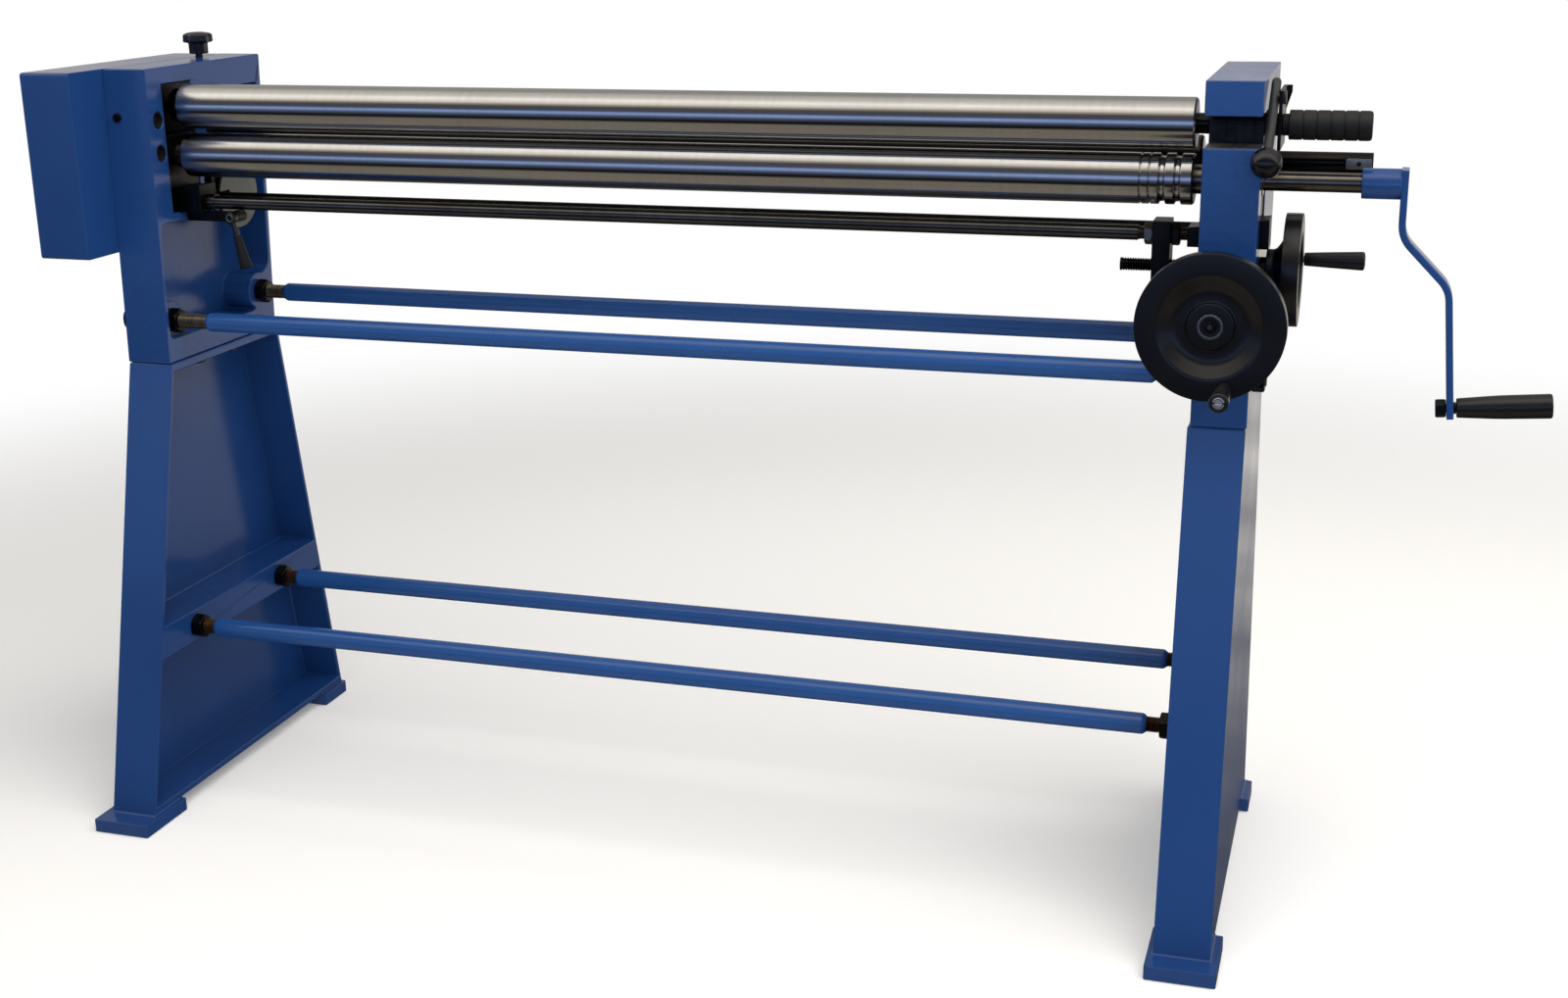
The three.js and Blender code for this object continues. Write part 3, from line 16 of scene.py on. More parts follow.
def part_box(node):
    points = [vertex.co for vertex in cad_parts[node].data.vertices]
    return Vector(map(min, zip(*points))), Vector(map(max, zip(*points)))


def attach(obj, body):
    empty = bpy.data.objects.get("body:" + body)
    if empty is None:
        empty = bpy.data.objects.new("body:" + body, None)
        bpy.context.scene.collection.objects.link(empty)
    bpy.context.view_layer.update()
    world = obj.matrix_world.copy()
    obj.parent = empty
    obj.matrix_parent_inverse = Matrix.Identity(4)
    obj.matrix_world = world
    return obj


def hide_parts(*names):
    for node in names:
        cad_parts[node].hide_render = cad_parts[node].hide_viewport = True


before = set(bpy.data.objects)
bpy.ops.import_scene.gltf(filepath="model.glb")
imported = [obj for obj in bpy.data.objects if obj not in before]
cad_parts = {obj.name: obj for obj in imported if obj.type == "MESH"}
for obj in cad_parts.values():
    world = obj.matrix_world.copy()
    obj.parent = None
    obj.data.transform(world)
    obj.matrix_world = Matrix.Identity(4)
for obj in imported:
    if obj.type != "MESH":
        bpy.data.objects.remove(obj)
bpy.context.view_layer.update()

# %% [markdown]
# ## Working in the maker's millimetres
# The machine was drawn in millimetres from the middle of its rolls, while Blender works in
# metres from the middle of the footprint. The left foot's corner is known in both, so its
# place gives the step between the two. One function then turns any drawing point into a
# Blender point.

# %% From drawing to Blender
FOOT_CORNER = np.array([-763.0, -258.0, 0.0])
middle = FOOT_CORNER - 1000 * np.array(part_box("left_stand")[0])


def placed(points):
    """Drawing point to Blender point: subtract the footprint's middle, divide by 1000."""
    return (np.asarray(points, float) - middle) / 1000


print("middle of the footprint in the drawing", middle.round(2))

# %% [markdown]
# ## Camera
# The photograph was taken from the front right, a little above the rolls. Its lens and place
# were worked out from the straight edges of the machine, so the camera is set from a point,
# three angles and a focal length in pixels, and a small shift that centres the picture.

# %% Camera
PICTURE = (1600, 1018)
FOCAL_PIXELS = 1991.97
PICTURE_CENTRE = (806.12, 480.60)
CAMERA_POINT = (899.17, -2322.70, 1219.94)
YAW, PITCH, ROLL = (math.radians(angle) for angle in (17.34, 16.18, 0.90))

camera_data = bpy.data.cameras.new("photographer")
camera_data.sensor_width = 36.0
camera_data.lens = FOCAL_PIXELS * camera_data.sensor_width / PICTURE[0]
camera_data.shift_x = (PICTURE[0] / 2 - PICTURE_CENTRE[0]) / PICTURE[0]
camera_data.shift_y = (PICTURE_CENTRE[1] - PICTURE[1] / 2) / PICTURE[0]
camera = bpy.data.objects.new("photographer", camera_data)
forward = np.array([
    -math.sin(YAW) * math.cos(PITCH), math.cos(YAW) * math.cos(PITCH), -math.sin(PITCH)])
level_right = np.array([math.cos(YAW), math.sin(YAW), 0.0])
level_down = np.cross(forward, level_right)
right = math.cos(ROLL) * level_right + math.sin(ROLL) * level_down
down = math.cos(ROLL) * level_down - math.sin(ROLL) * level_right
turn = Matrix(np.column_stack([right, -down, -forward]).tolist())
camera.matrix_world = Matrix.Translation(placed(CAMERA_POINT).tolist()) @ turn.to_4x4()
bpy.context.scene.collection.objects.link(camera)
bpy.context.scene.camera = camera
print("camera at", [round(v, 3) for v in camera.location], "lens", round(camera_data.lens, 2))

# %% [markdown]
# ## Meshes from arrays
# Nearly every piece of a machine is turned on a lathe, cut from plate or rolled as a hexagon.
# Each of these is a rule with two numbers going in and a point coming out, so numpy can work
# out the whole surface at once. The helpers below hold those rules.

# %% A mesh from points and faces


def quads(rows, columns, wrap_rows=False, wrap_columns=True):
    """Faces of a grid: point (r, c) joins (r, c+1), (r+1, c+1) and (r+1, c)."""
    row, column = np.meshgrid(
        np.arange(rows if wrap_rows else rows - 1),
        np.arange(columns if wrap_columns else columns - 1), indexing="ij")
    next_row, next_column = (row + 1) % rows, (column + 1) % columns
    corners = [row * columns + column, row * columns + next_column,
               next_row * columns + next_column, next_row * columns + column]
    return np.stack(corners, -1).reshape(-1, 4).tolist()


def make(name, parts, material, body, nodes=(), crease=32):
    """One object from several (points, faces) parts in drawing millimetres: equal points are
    merged, faces turned outward, and edges sharper than `crease` degrees kept sharp."""
    points, faces = [], []
    for part_points, part_faces in parts:
        start = sum(len(group) for group in points)
        points.append(np.asarray(part_points, float).reshape(-1, 3))
        faces += [[start + corner for corner in face] for face in part_faces]
    mesh = bpy.data.meshes.new(name)
    mesh.from_pydata(placed(np.concatenate(points)).tolist(), [], faces)
    work = bmesh.new()
    work.from_mesh(mesh)
    bmesh.ops.remove_doubles(work, verts=work.verts, dist=2e-6)
    bmesh.ops.recalc_face_normals(work, faces=work.faces)
    work.to_mesh(mesh)
    work.free()
    mesh.shade_smooth()
    mesh.set_sharp_from_angle(angle=math.radians(crease))
    mesh.materials.append(material)
    piece = bpy.data.objects.new(name, mesh)
    bpy.context.scene.collection.objects.link(piece)
    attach(piece, body)
    if nodes:
        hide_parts(*nodes)
    return piece


# %% [markdown]
# ## The lathe, the mill and the nut maker
# `softened` breaks the sharp corners of an outline, as a file or a form tool does. `turned`
# spins an outline round an axis, and `round_bar` is its plainest use. `plate` carries an outline
# through a thickness and rounds its rim. `hexagon` is turned with a radius that depends on the
# direction.

# %% Shapes
AXES = {"x": (1, 0, 0), "y": (0, 1, 0), "z": (0, 0, 1)}


def softened(outline, radius, closed=False, steps=5):
    """Each corner B becomes (1-t)²A + 2t(1-t)B + t²C, with A and C `radius` before and after
    it, but no further than 0.45 of the edge."""
    outline = np.asarray(outline, float)
    before, after = np.roll(outline, 1, 0) - outline, np.roll(outline, -1, 0) - outline
    if not closed:
        before[[0, -1]] = after[[0, -1]] = 0

    def reach(edge):
        length = np.linalg.norm(edge, axis=1, keepdims=True)
        wanted = np.minimum(np.reshape(radius, (-1, 1)), 0.45 * length)
        return edge * wanted / np.maximum(length, 1e-9)

    t = np.linspace(0, 1, steps)[None, :, None]
    start, end = (outline + reach(before))[:, None], (outline + reach(after))[:, None]
    curve = (1 - t) ** 2 * start + 2 * t * (1 - t) * outline[:, None] + t ** 2 * end
    return curve.reshape(-1, outline.shape[1])


def across(axis):
    """Two unit vectors square to the axis and to each other."""
    axis = np.asarray(AXES.get(axis, axis) if isinstance(axis, str) else axis, float)
    axis = axis / np.linalg.norm(axis)
    side = np.cross(axis, (0, 0, 1) if abs(axis[2]) < 0.9 else (0, 1, 0))
    side /= np.linalg.norm(side)
    return axis, side, np.cross(axis, side)


def turned(axis, centre, outline, sides=64, closed=False, shape=None):
    """Ring k lies at distance d_k along the axis with radius r_k times shape(angle, k):
    point = centre + d·axis + r(cos a·side + sin a·top)."""
    along, side, top = across(axis)
    outline = np.asarray(outline, float)
    angle = np.linspace(0, 2 * np.pi, sides, endpoint=False)
    radius = np.repeat(outline[:, 1:2], sides, 1)
    if shape is not None:
        radius = shape(angle[None, :], outline[:, :1], radius)
    points = (np.asarray(centre, float) + outline[:, None, :1] * along
              + radius[..., None] * (np.cos(angle)[None, :, None] * side
                                     + np.sin(angle)[None, :, None] * top))
    return points, quads(len(outline), sides, wrap_rows=closed)


def round_bar(axis, centre, radius, low, high, sides=64):
    """A plain round bar: the outline of `turned` is a rectangle from the axis out."""
    return turned(axis, centre, [(low, 0), (low, radius), (high, radius), (high, 0)], sides)


def hexagon(axis, centre, flats, low, high, bore=0.0, sides=72):
    """A nut: in direction a the radius is flats/2 / cos(angle to the nearest flat's middle), and
    a 30 degree cone turned on both ends trims the corners."""
    rise = np.array([0, 0.4, 0.9, 1.5, 2.2, 3.0])
    distance = np.concatenate([low + rise, high - rise[::-1]])
    outline = np.column_stack([distance, np.full(len(distance), flats)])
    outline = np.vstack([[low, bore], outline, [high, bore]])

    def shape(angle, along, radius):
        to_flat = (angle + np.pi / 6) % (np.pi / 3) - np.pi / 6
        hexagonal = flats / 2 / np.cos(to_flat)
        cone = flats * 0.485 + 1.7 * np.minimum(along - low, high - along)
        return np.minimum(radius, np.minimum(hexagonal, cone))

    return turned(axis, centre, outline, sides, closed=bore > 0, shape=shape)


def thread(axis, centre, radius, low, high, pitch, sides=40):
    """A screw thread: r = radius - 0.6·pitch·|2·frac(d/pitch - a/2π) - 1|, faded at both ends."""
    rows = int((high - low) / pitch * 8) + 1
    distance = np.linspace(low, high, rows)
    outline = np.column_stack([distance, np.full(rows, radius)])

    def shape(angle, along, base):
        tooth = np.abs(2 * ((along / pitch - angle / (2 * np.pi)) % 1) - 1)
        fade = np.clip(np.minimum(along - low, high - along) / pitch, 0, 1)
        return base - 0.6 * pitch * tooth * fade

    points, faces = turned(axis, centre, outline, sides, shape=shape)
    along, _, _ = across(axis)
    caps = [np.asarray(centre, float) + end * along for end in (low, high)]
    return [(points, faces), fan(points[0], caps[0]), fan(points[-1], caps[1])]


def fan(ring, tip):
    """A lid: triangles from each edge of a ring to one tip point."""
    count = len(ring)
    start = np.arange(count)
    faces = np.column_stack([start, (start + 1) % count, np.full(count, count)]).tolist()
    return np.vstack([ring, tip]), faces


def plate(outline, low, high, edge, axes=(1, 2, 0), steps=4):
    """A flat piece: the outline runs from one face to the other, and within `edge` of a face
    it draws in by edge·(1 - cos t) while it rises by edge·sin t, a quarter round."""
    outline = np.asarray(outline, float)
    ahead = np.roll(outline, -1, 0) - outline
    ahead /= np.maximum(np.linalg.norm(ahead, axis=1, keepdims=True), 1e-9)
    normal = np.column_stack([ahead[:, 1], -ahead[:, 0]])
    normal = normal + np.roll(normal, 1, 0)
    normal /= np.maximum(np.linalg.norm(normal, axis=1, keepdims=True), 1e-9)
    x, y = outline.T
    if np.sum(x * np.roll(y, -1) - y * np.roll(x, -1)) < 0:
        normal = -normal
    t = np.linspace(0, np.pi / 2, steps)
    inset = edge * (1 - np.sin(t))
    depth = edge * (1 - np.cos(t))
    inset = np.concatenate([inset, inset[::-1]])
    level = np.concatenate([low + depth, high - depth[::-1]])
    flat = outline[None] - inset[:, None, None] * normal[None]
    points = np.zeros((len(level), len(outline), 3))
    points[..., axes[0]] = flat[..., 0]
    points[..., axes[1]] = flat[..., 1]
    points[..., axes[2]] = level[:, None]
    count = len(outline)
    last = (len(level) - 1) * count
    lids = [list(range(count)), list(range(last, last + count))]
    return points, quads(len(level), count) + lids


def carried(path, section, axes=(0, 2, 1)):
    """A bar: section point (u, v) at path point k lies at path_k + u·normal_k, with v across.
    The normal is the mean of the two edges' normals, stretched by 1/cos of half the bend."""
    path, section = np.asarray(path, float), np.asarray(section, float)
    edges = np.diff(path, axis=0)
    edges /= np.linalg.norm(edges, axis=1, keepdims=True)
    normal = np.column_stack([edges[:, 1], -edges[:, 0]])
    before, after = np.vstack([normal[:1], normal]), np.vstack([normal, normal[-1:]])
    mean = before + after
    mean /= np.linalg.norm(mean, axis=1, keepdims=True)
    mean /= np.sum(mean * after, axis=1, keepdims=True)
    flat = path[:, None] + section[None, :, :1] * mean[:, None]
    points = np.zeros((len(path), len(section), 3))
    points[..., axes[0]] = flat[..., 0]
    points[..., axes[1]] = flat[..., 1]
    points[..., axes[2]] = section[None, :, 1]
    count = len(section)
    last = (len(path) - 1) * count
    lids = [list(range(count)), list(range(last, last + count))]
    return points, quads(len(path), count) + lids


# %% [markdown]
# ## Finishes from nodes
# Each finish starts from a Principled shader. One small function adds a node, sets its options
# and fills its inputs, and another turns an sRGB hex colour into the linear light that shaders
# work in. Patterns read Object coordinates, so they keep their size in metres on every piece.

# %% Node helpers


def linear(colour):
    """sRGB hex to linear: c/12.92 below 0.04045, else ((c + 0.055)/1.055)^2.4."""
    parts = np.array([int(colour[i:i + 2], 16) for i in (1, 3, 5)]) / 255
    light = np.where(parts <= 0.04045, parts / 12.92, ((parts + 0.055) / 1.055) ** 2.4)
    return (*light.tolist(), 1.0)


def add(tree, kind, inputs=(), **settings):
    """Adds a node; an input's value is either a constant or another node's output."""
    item = tree.nodes.new(kind)
    for name, value in settings.items():
        setattr(item, name, value)
    for name, value in dict(inputs).items():
        if isinstance(value, bpy.types.NodeSocket):
            tree.links.new(value, item.inputs[name])
        else:
            item.inputs[name].default_value = value
    return item


def begin(name, stretch=(1, 1, 1)):
    """An empty material with its shader and Object coordinates scaled by `stretch`."""
    material = bpy.data.materials.new(name)
    material.use_nodes = True
    tree = material.node_tree
    shader = tree.nodes["Principled BSDF"]
    place = add(tree, "ShaderNodeTexCoord")
    where = add(tree, "ShaderNodeMapping",
                {"Vector": place.outputs["Object"], "Scale": stretch})
    return material, tree, shader, where.outputs["Vector"]


# %% [markdown]
# ## Enamel on castings and sheet
# Machine enamel is a thick gloss alkyd paint. It levels into a shallow orange peel about 3 mm
# across, and on a casting the sand's texture shows through as soft waves. The eye reads it
# from broken reflections, so the relief matters more than the colour, which only drifts a
# little. Dust and oil make the gloss uneven.

# %% Enamel
ENAMEL_LIGHT, ENAMEL_DARK = "#1D427D", "#18386C"
PEEL_PER_METRE = 330
SAND_PER_METRE = 95


def enamel(name, light, dark, sand, peel, gloss):
    """Gloss enamel: a colour that drifts, two reliefs added up, and a cloudy gloss."""
    material, tree, shader, where = begin(name)
    drift = add(tree, "ShaderNodeTexNoise", {"Vector": where, "Scale": 5.0, "Detail": 3.0})
    colour = add(tree, "ShaderNodeMixRGB", {
        "Fac": drift.outputs["Fac"], "Color1": linear(dark), "Color2": linear(light)})
    fine = add(tree, "ShaderNodeTexNoise", {
        "Vector": where, "Scale": float(PEEL_PER_METRE), "Detail": 2.0})
    coarse = add(tree, "ShaderNodeTexNoise", {
        "Vector": where, "Scale": float(SAND_PER_METRE), "Detail": 3.0})
    low_relief = add(tree, "ShaderNodeBump", {
        "Height": coarse.outputs["Fac"], "Strength": sand, "Distance": 0.002})
    relief = add(tree, "ShaderNodeBump", {
        "Height": fine.outputs["Fac"], "Strength": peel, "Distance": 0.0006,
        "Normal": low_relief.outputs["Normal"]})
    cloud = add(tree, "ShaderNodeMapRange", {
        "Value": drift.outputs["Fac"], "From Min": 0.3, "From Max": 0.7,
        "To Min": gloss, "To Max": gloss + 0.09})
    tree.links.new(colour.outputs["Color"], shader.inputs["Base Color"])
    tree.links.new(relief.outputs["Normal"], shader.inputs["Normal"])
    tree.links.new(cloud.outputs["Result"], shader.inputs["Roughness"])
    return material


cast_enamel = enamel("alkyd_enamel_on_cast_iron", ENAMEL_LIGHT, ENAMEL_DARK, 0.16, 0.09, 0.15)
sheet_enamel = enamel("alkyd_enamel_on_sheet_steel", ENAMEL_LIGHT, ENAMEL_DARK, 0.03, 0.06, 0.13)
bar_enamel = enamel("alkyd_enamel_on_drawn_bar", "#22508F", "#1C4480", 0.10, 0.16, 0.20)
print("enamels:", [m.name for m in (cast_enamel, sheet_enamel, bar_enamel)])

# %% [markdown]
# ## Steels
# The rolls are cylindrically ground and polished: grinding leaves fine rings round the roll,
# and handling leaves faint cloudy patches. Turned shafts are darker with oil. Black oxide is a
# thin magnetite skin that turns brownish where it wears. All are metals with the default IOR.

# %% Steels


def steel(name, light, dark, rough, rings, relief, cloud_scale=9.0, brushed=0.0):
    """Machined steel: noise squeezed along X draws rings that tint, dull and groove it.
    `brushed` stretches reflections along X, across the rings."""
    material, tree, shader, where = begin(name)
    squeezed = add(tree, "ShaderNodeMapping", {"Vector": where, "Scale": (rings, 3.0, 3.0)})
    ring = add(tree, "ShaderNodeTexNoise", {
        "Vector": squeezed.outputs["Vector"], "Scale": 1.0, "Detail": 4.0})
    cloud = add(tree, "ShaderNodeTexNoise", {
        "Vector": where, "Scale": cloud_scale, "Detail": 4.0})
    both = add(tree, "ShaderNodeMath", {
        0: ring.outputs["Fac"], 1: cloud.outputs["Fac"]}, operation="ADD")
    spread = add(tree, "ShaderNodeMapRange", {
        "Value": both.outputs["Value"], "From Min": 0.7, "From Max": 1.3})
    colour = add(tree, "ShaderNodeMixRGB", {
        "Fac": spread.outputs["Result"], "Color1": linear(dark), "Color2": linear(light)})
    gloss = add(tree, "ShaderNodeMapRange", {
        "Value": both.outputs["Value"], "From Min": 0.7, "From Max": 1.3,
        "To Min": rough + 0.06, "To Max": rough})
    groove = add(tree, "ShaderNodeBump", {
        "Height": ring.outputs["Fac"], "Strength": relief, "Distance": 0.0003})
    shader.inputs["Metallic"].default_value = 1.0
    if brushed:
        shader.inputs["Anisotropic"].default_value = brushed
        stretch = add(tree, "ShaderNodeCombineXYZ", {"X": 1.0})
        tree.links.new(stretch.outputs["Vector"], shader.inputs["Tangent"])
    tree.links.new(colour.outputs["Color"], shader.inputs["Base Color"])
    tree.links.new(gloss.outputs["Result"], shader.inputs["Roughness"])
    tree.links.new(groove.outputs["Normal"], shader.inputs["Normal"])
    return material


roll_steel = steel("ground_and_polished_roll_steel", "#BBB9B6", "#B3B1AE", 0.12, 120.0, 0.0,
                   brushed=1.0)
# The rear roll's steel is much darker than the other rolls. This is painted shade for the shadowed
# gap behind and between the upper and lower rolls.
shaded_rear_roll_steel = steel("rear_roll_steel_darkened_as_painted_shade", "#33312F", "#262524", 0.14, 120.0, 0.0, brushed=1.0)
rod_steel = steel("dark_drawn_rod_steel", "#625F5B", "#504D4A", 0.20, 60.0, 0.0, brushed=0.8)
shaft_steel = steel("turned_oiled_shaft_steel", "#7C746C", "#645C55", 0.22, 60.0, 0.0, brushed=0.8)
black_shaft = steel("blackened_shaft_steel", "#2B2928", "#1D1C1C", 0.22, 60.0, 0.0, brushed=0.8)
milled_steel = steel("milled_flat_steel", "#B9B6AF", "#9C988F", 0.42, 400.0, 0.05)
bright_steel = steel("machined_bright_steel", "#A8A39A", "#7F7A72", 0.26, 600.0, 0.12)
thread_steel = steel("rolled_thread_steel", "#857B6C", "#54493D", 0.36, 300.0, 0.10)
rusty_steel = steel("rust_stained_thread_steel", "#6B4A36", "#3B2A22", 0.52, 200.0, 0.30, 60.0)
black_oxide = steel("black_oxide_steel", "#3A3836", "#1E1E1F", 0.34, 120.0, 0.10, 30.0)
# The clamp lever's steel is dark of its own. It is darkened a little more as painted shade for the
# shaded space under the rolls.
lever_steel = steel("machined_lever_steel_darkened_as_painted_shade", "#55524D", "#3B3935", 0.30, 300.0, 0.06)
zinc_steel = steel("zinc_plated_steel", "#E2E2E0", "#C9C9C6", 0.45, 200.0, 0.04)
iron_plate = steel("machined_grey_iron", "#6C706D", "#4E5250", 0.38, 250.0, 0.15)

# %% [markdown]
# ## Plastics and rubber
# The handwheels and handles are moulded phenolic: very dark, glossy, with a faint flow pattern.
# The grip at the end of the upper roll is rubber, which scatters light instead of mirroring it.

# %% Plastics and rubber


def moulded(name, light, dark, rough, grain, relief):
    """Moulded material: fine grain in the relief and a slow change of colour and gloss."""
    material, tree, shader, where = begin(name)
    flow = add(tree, "ShaderNodeTexNoise", {"Vector": where, "Scale": 14.0, "Detail": 4.0})
    pores = add(tree, "ShaderNodeTexNoise", {"Vector": where, "Scale": grain, "Detail": 2.0})
    colour = add(tree, "ShaderNodeMixRGB", {
        "Fac": flow.outputs["Fac"], "Color1": linear(dark), "Color2": linear(light)})
    gloss = add(tree, "ShaderNodeMapRange", {
        "Value": flow.outputs["Fac"], "From Min": 0.3, "From Max": 0.7,
        "To Min": rough, "To Max": rough + 0.1})
    skin = add(tree, "ShaderNodeBump", {
        "Height": pores.outputs["Fac"], "Strength": relief, "Distance": 0.0003})
    tree.links.new(colour.outputs["Color"], shader.inputs["Base Color"])
    tree.links.new(gloss.outputs["Result"], shader.inputs["Roughness"])
    tree.links.new(skin.outputs["Normal"], shader.inputs["Normal"])
    return material


phenolic = moulded("moulded_black_phenolic", "#08080A", "#050506", 0.26, 700.0, 0.05)
ball_phenolic = moulded("polished_black_phenolic", "#08080A", "#050506", 0.13, 300.0, 0.0)
handle_black = moulded("turned_black_phenolic_handle", "#0D0D0F", "#08080A", 0.26, 600.0, 0.04)
flat_black = moulded("matt_black_plastic", "#0A0A0B", "#060607", 0.6, 500.0, 0.1)
rubber = moulded("moulded_black_rubber", "#101011", "#0A0A0B", 0.50, 900.0, 0.15)
lever_black = moulded("satin_black_lacquer_on_steel", "#2A2B2C", "#1B1C1D", 0.36, 500.0, 0.08)

# %% [markdown]
# ## CAD pieces that keep their shape
# Castings, stands and blocks are already right, so they only need a finish and softer edges.
# A Weld modifier joins the loose triangles and a Bevel rounds the edges, as paint and
# foundry sand do.

# %% Finish for the CAD nodes


def dress(node, material, bevel=0.0, segments=2):
    """A finish for a CAD node, and a rounded edge of `bevel` millimetres."""
    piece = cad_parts[node]
    piece.data.materials.clear()
    piece.data.materials.append(material)
    if bevel:
        weld = piece.modifiers.new("weld", "WELD")
        weld.merge_threshold = 1e-6
        round_off = piece.modifiers.new("round_off", "BEVEL")
        round_off.width = bevel / 1000
        round_off.segments = segments
        round_off.limit_method = "ANGLE"
        round_off.angle_limit = math.radians(30)
        round_off.use_clamp_overlap = False
        round_off.harden_normals = True
    return piece


for side in ("left", "right"):
    dress(f"{side}_stand", sheet_enamel, 2.2)
    dress(f"{side}_housing", cast_enamel, 2.0)
    dress(f"lower_block_{side}", black_oxide, 0.8)
    dress(f"rear_block_{side}", black_oxide, 2.0)
    dress(f"draw_wedge_{side}", black_oxide, 0.8)
dress("gear_cover", sheet_enamel, 1.0)
dress("clamp_bracket", black_oxide, 0.8)
dress("rod_bracket", black_oxide, 1.0)
dress("rear_wedge_bar", black_oxide, 1.8)
dress("drive_bearing", black_oxide, 0.5)
dress("drive_stub", shaft_steel)
dress("upper_gear", shaft_steel, 0.4)
dress("lower_gear", shaft_steel, 0.4)
dress("drop_block", black_oxide, 0.6)
dress("guide_disc", iron_plate, 0.6)

# %% [markdown]
# Two blind holes in the left housing hold sunken black discs. They are painted shade that makes the
# holes read as deep. A small set screw with a socket sits in the housing's front face.

# %% Painted shade discs in the holes, and set screw
HOLE_Y, HOLE_RADIUS, HOLE_HEIGHTS = -48.0, 11.0, (911.0, 955.0)
SHADE_DISC_BACK, SHADE_DISC_FLOOR, SHADE_DISC_RIM = -704.0, -697.0, -690.0
# The black discs sunk in the holes are painted shade, not real plugs.
hole_shade_disc = softened([
    (SHADE_DISC_BACK, 0), (SHADE_DISC_BACK, HOLE_RADIUS + 0.2), (SHADE_DISC_RIM, HOLE_RADIUS + 0.2),
    (SHADE_DISC_RIM, HOLE_RADIUS - 1.4), (SHADE_DISC_FLOOR, HOLE_RADIUS - 2.5), (SHADE_DISC_FLOOR, 0)], 0.5)
make("left_housing_holes_painted_shade_discs", [turned("x", (0, HOLE_Y, z), hole_shade_disc, 48) for z in HOLE_HEIGHTS],
     flat_black, "frame")
SET_SCREW = (-736.2, 0.0, 959.9)
SCREW_FOOT, SOCKET_FLOOR, SCREW_FACE, SCREW_RADIUS = -60.0, -71.0, -74.2, 5.6
make("left_housing_set_screw", [
    turned("y", SET_SCREW, softened([
        (SCREW_FOOT, 0), (SCREW_FOOT, SCREW_RADIUS), (SCREW_FACE, SCREW_RADIUS),
        (SCREW_FACE, SCREW_RADIUS / 2), (SOCKET_FLOOR, 2.6), (SOCKET_FLOOR, 0)], 0.6), 32)],
    black_oxide, "frame")

# %% [markdown]
# The floor of the right housing's slot was milled after painting, in two passes with a fine
# step between them, and is left bare.

# %% Bare floor of the slot
SLOT_FLOOR, SLOT_FRONT, SLOT_BACK = 949.0, -68.5, -16.0
MILLED_PASSES = ((691.0, 720.8), (721.4, 752.0))
make("slot_floor_bare_metal", [
    plate([(low, SLOT_FRONT), (high, SLOT_FRONT), (high, SLOT_BACK), (low, SLOT_BACK)],
          SLOT_FLOOR - 0.4, SLOT_FLOOR + 0.15, 0.1, axes=(0, 1, 2))
    for low, high in MILLED_PASSES],
    milled_steel, "frame")

# %% [markdown]
# ## The three rolls
# Each roll is turned from one bar: a long barrel with chamfered ends, and slimmer shafts. The
# lower roll has four grooves near its right end, where wire edges run. The barrel
# is polished and the shafts are left as turned, so they are separate pieces with their own steel.

# %% Rolls
UPPER_Z, LOWER_Z = 969.5, 904.7
REAR_Y, REAR_Z = 92.0, 916.0
ROLL_RADIUS, ROLL_END, ROLL_CHAMFER = 30.0, 675.5, 2.0
HOUSING_OUTER = 754.0
GROOVES = ((614.0, 2.0, 1.5), (624.5, 2.0, 1.5), (639.0, 8.0, 3.5), (657.0, 8.0, 3.5))


def barrel(grooves=()):
    """Outline of a roll's barrel: both end faces, chamfers, and a rounded dip per groove."""
    start = [(-ROLL_END, 8), (-ROLL_END, ROLL_RADIUS - ROLL_CHAMFER),
             (-ROLL_END + ROLL_CHAMFER, ROLL_RADIUS)]
    dips = [point for x, width, depth in grooves for point in (
        (x - width / 2, ROLL_RADIUS), (x - width / 4, ROLL_RADIUS - depth),
        (x + width / 4, ROLL_RADIUS - depth), (x + width / 2, ROLL_RADIUS))]
    end = [(-distance, radius) for distance, radius in reversed(start)]
    return softened(start + dips + end, 0.6)


make("upper_roll_barrel", [turned("x", (0, 0, UPPER_Z), barrel(), 128, closed=True)],
     roll_steel, "upper_roll", ["upper_roll"])
make("lower_roll_barrel", [turned("x", (0, 0, LOWER_Z), barrel(GROOVES), 128, closed=True)],
     roll_steel, "lower_roll", ["lower_roll"])
# The rear roll takes the darkened steel: painted shade in the gap behind the rolls.
make("rear_roll_barrel", [turned("x", (0, REAR_Y, REAR_Z), barrel(), 128, closed=True)],
     shaded_rear_roll_steel, "rear_roll", ["rear_roll"])

# %% Shafts of the rolls
BALL_X, BALL_RADIUS = -715.0, 17.5
BALL_NECK, BALL_PIN, BALL_PIN_HALF = 10.0, 4.0, 22.0
ROOT = ROLL_END - 1
UPPER_NECK, UPPER_NECK_END, UPPER_JOURNAL, UPPER_END = 12.0, 690.0, 8.0, 854.0
LOWER_JOURNAL, LOWER_GEAR_SEAT, LOWER_LEFT_END = 17.0, 14.0, 800.0
LOWER_SHAFT, LOWER_END = 11.25, 905.7
ball_angle = np.linspace(np.pi, np.arcsin(BALL_NECK / BALL_RADIUS), 16)
ball_outline = np.column_stack([
    BALL_X + BALL_RADIUS * np.cos(ball_angle), BALL_RADIUS * np.sin(ball_angle)])
ball_outline[0, 1] = 0
make("upper_roll_shafts", [
    turned("x", (0, 0, UPPER_Z), np.vstack([ball_outline, [-ROOT, BALL_NECK], [-ROOT, 0]])),
    turned("x", (0, 0, UPPER_Z), softened([
        (ROOT, 0), (ROOT, UPPER_NECK), (UPPER_NECK_END, UPPER_NECK),
        (UPPER_NECK_END, UPPER_JOURNAL), (UPPER_END, UPPER_JOURNAL), (UPPER_END, 0)], 0.6)),
    round_bar("z", (BALL_X, 0, UPPER_Z), BALL_PIN, -BALL_PIN_HALF, BALL_PIN_HALF, 24)],
    black_shaft, "upper_roll")
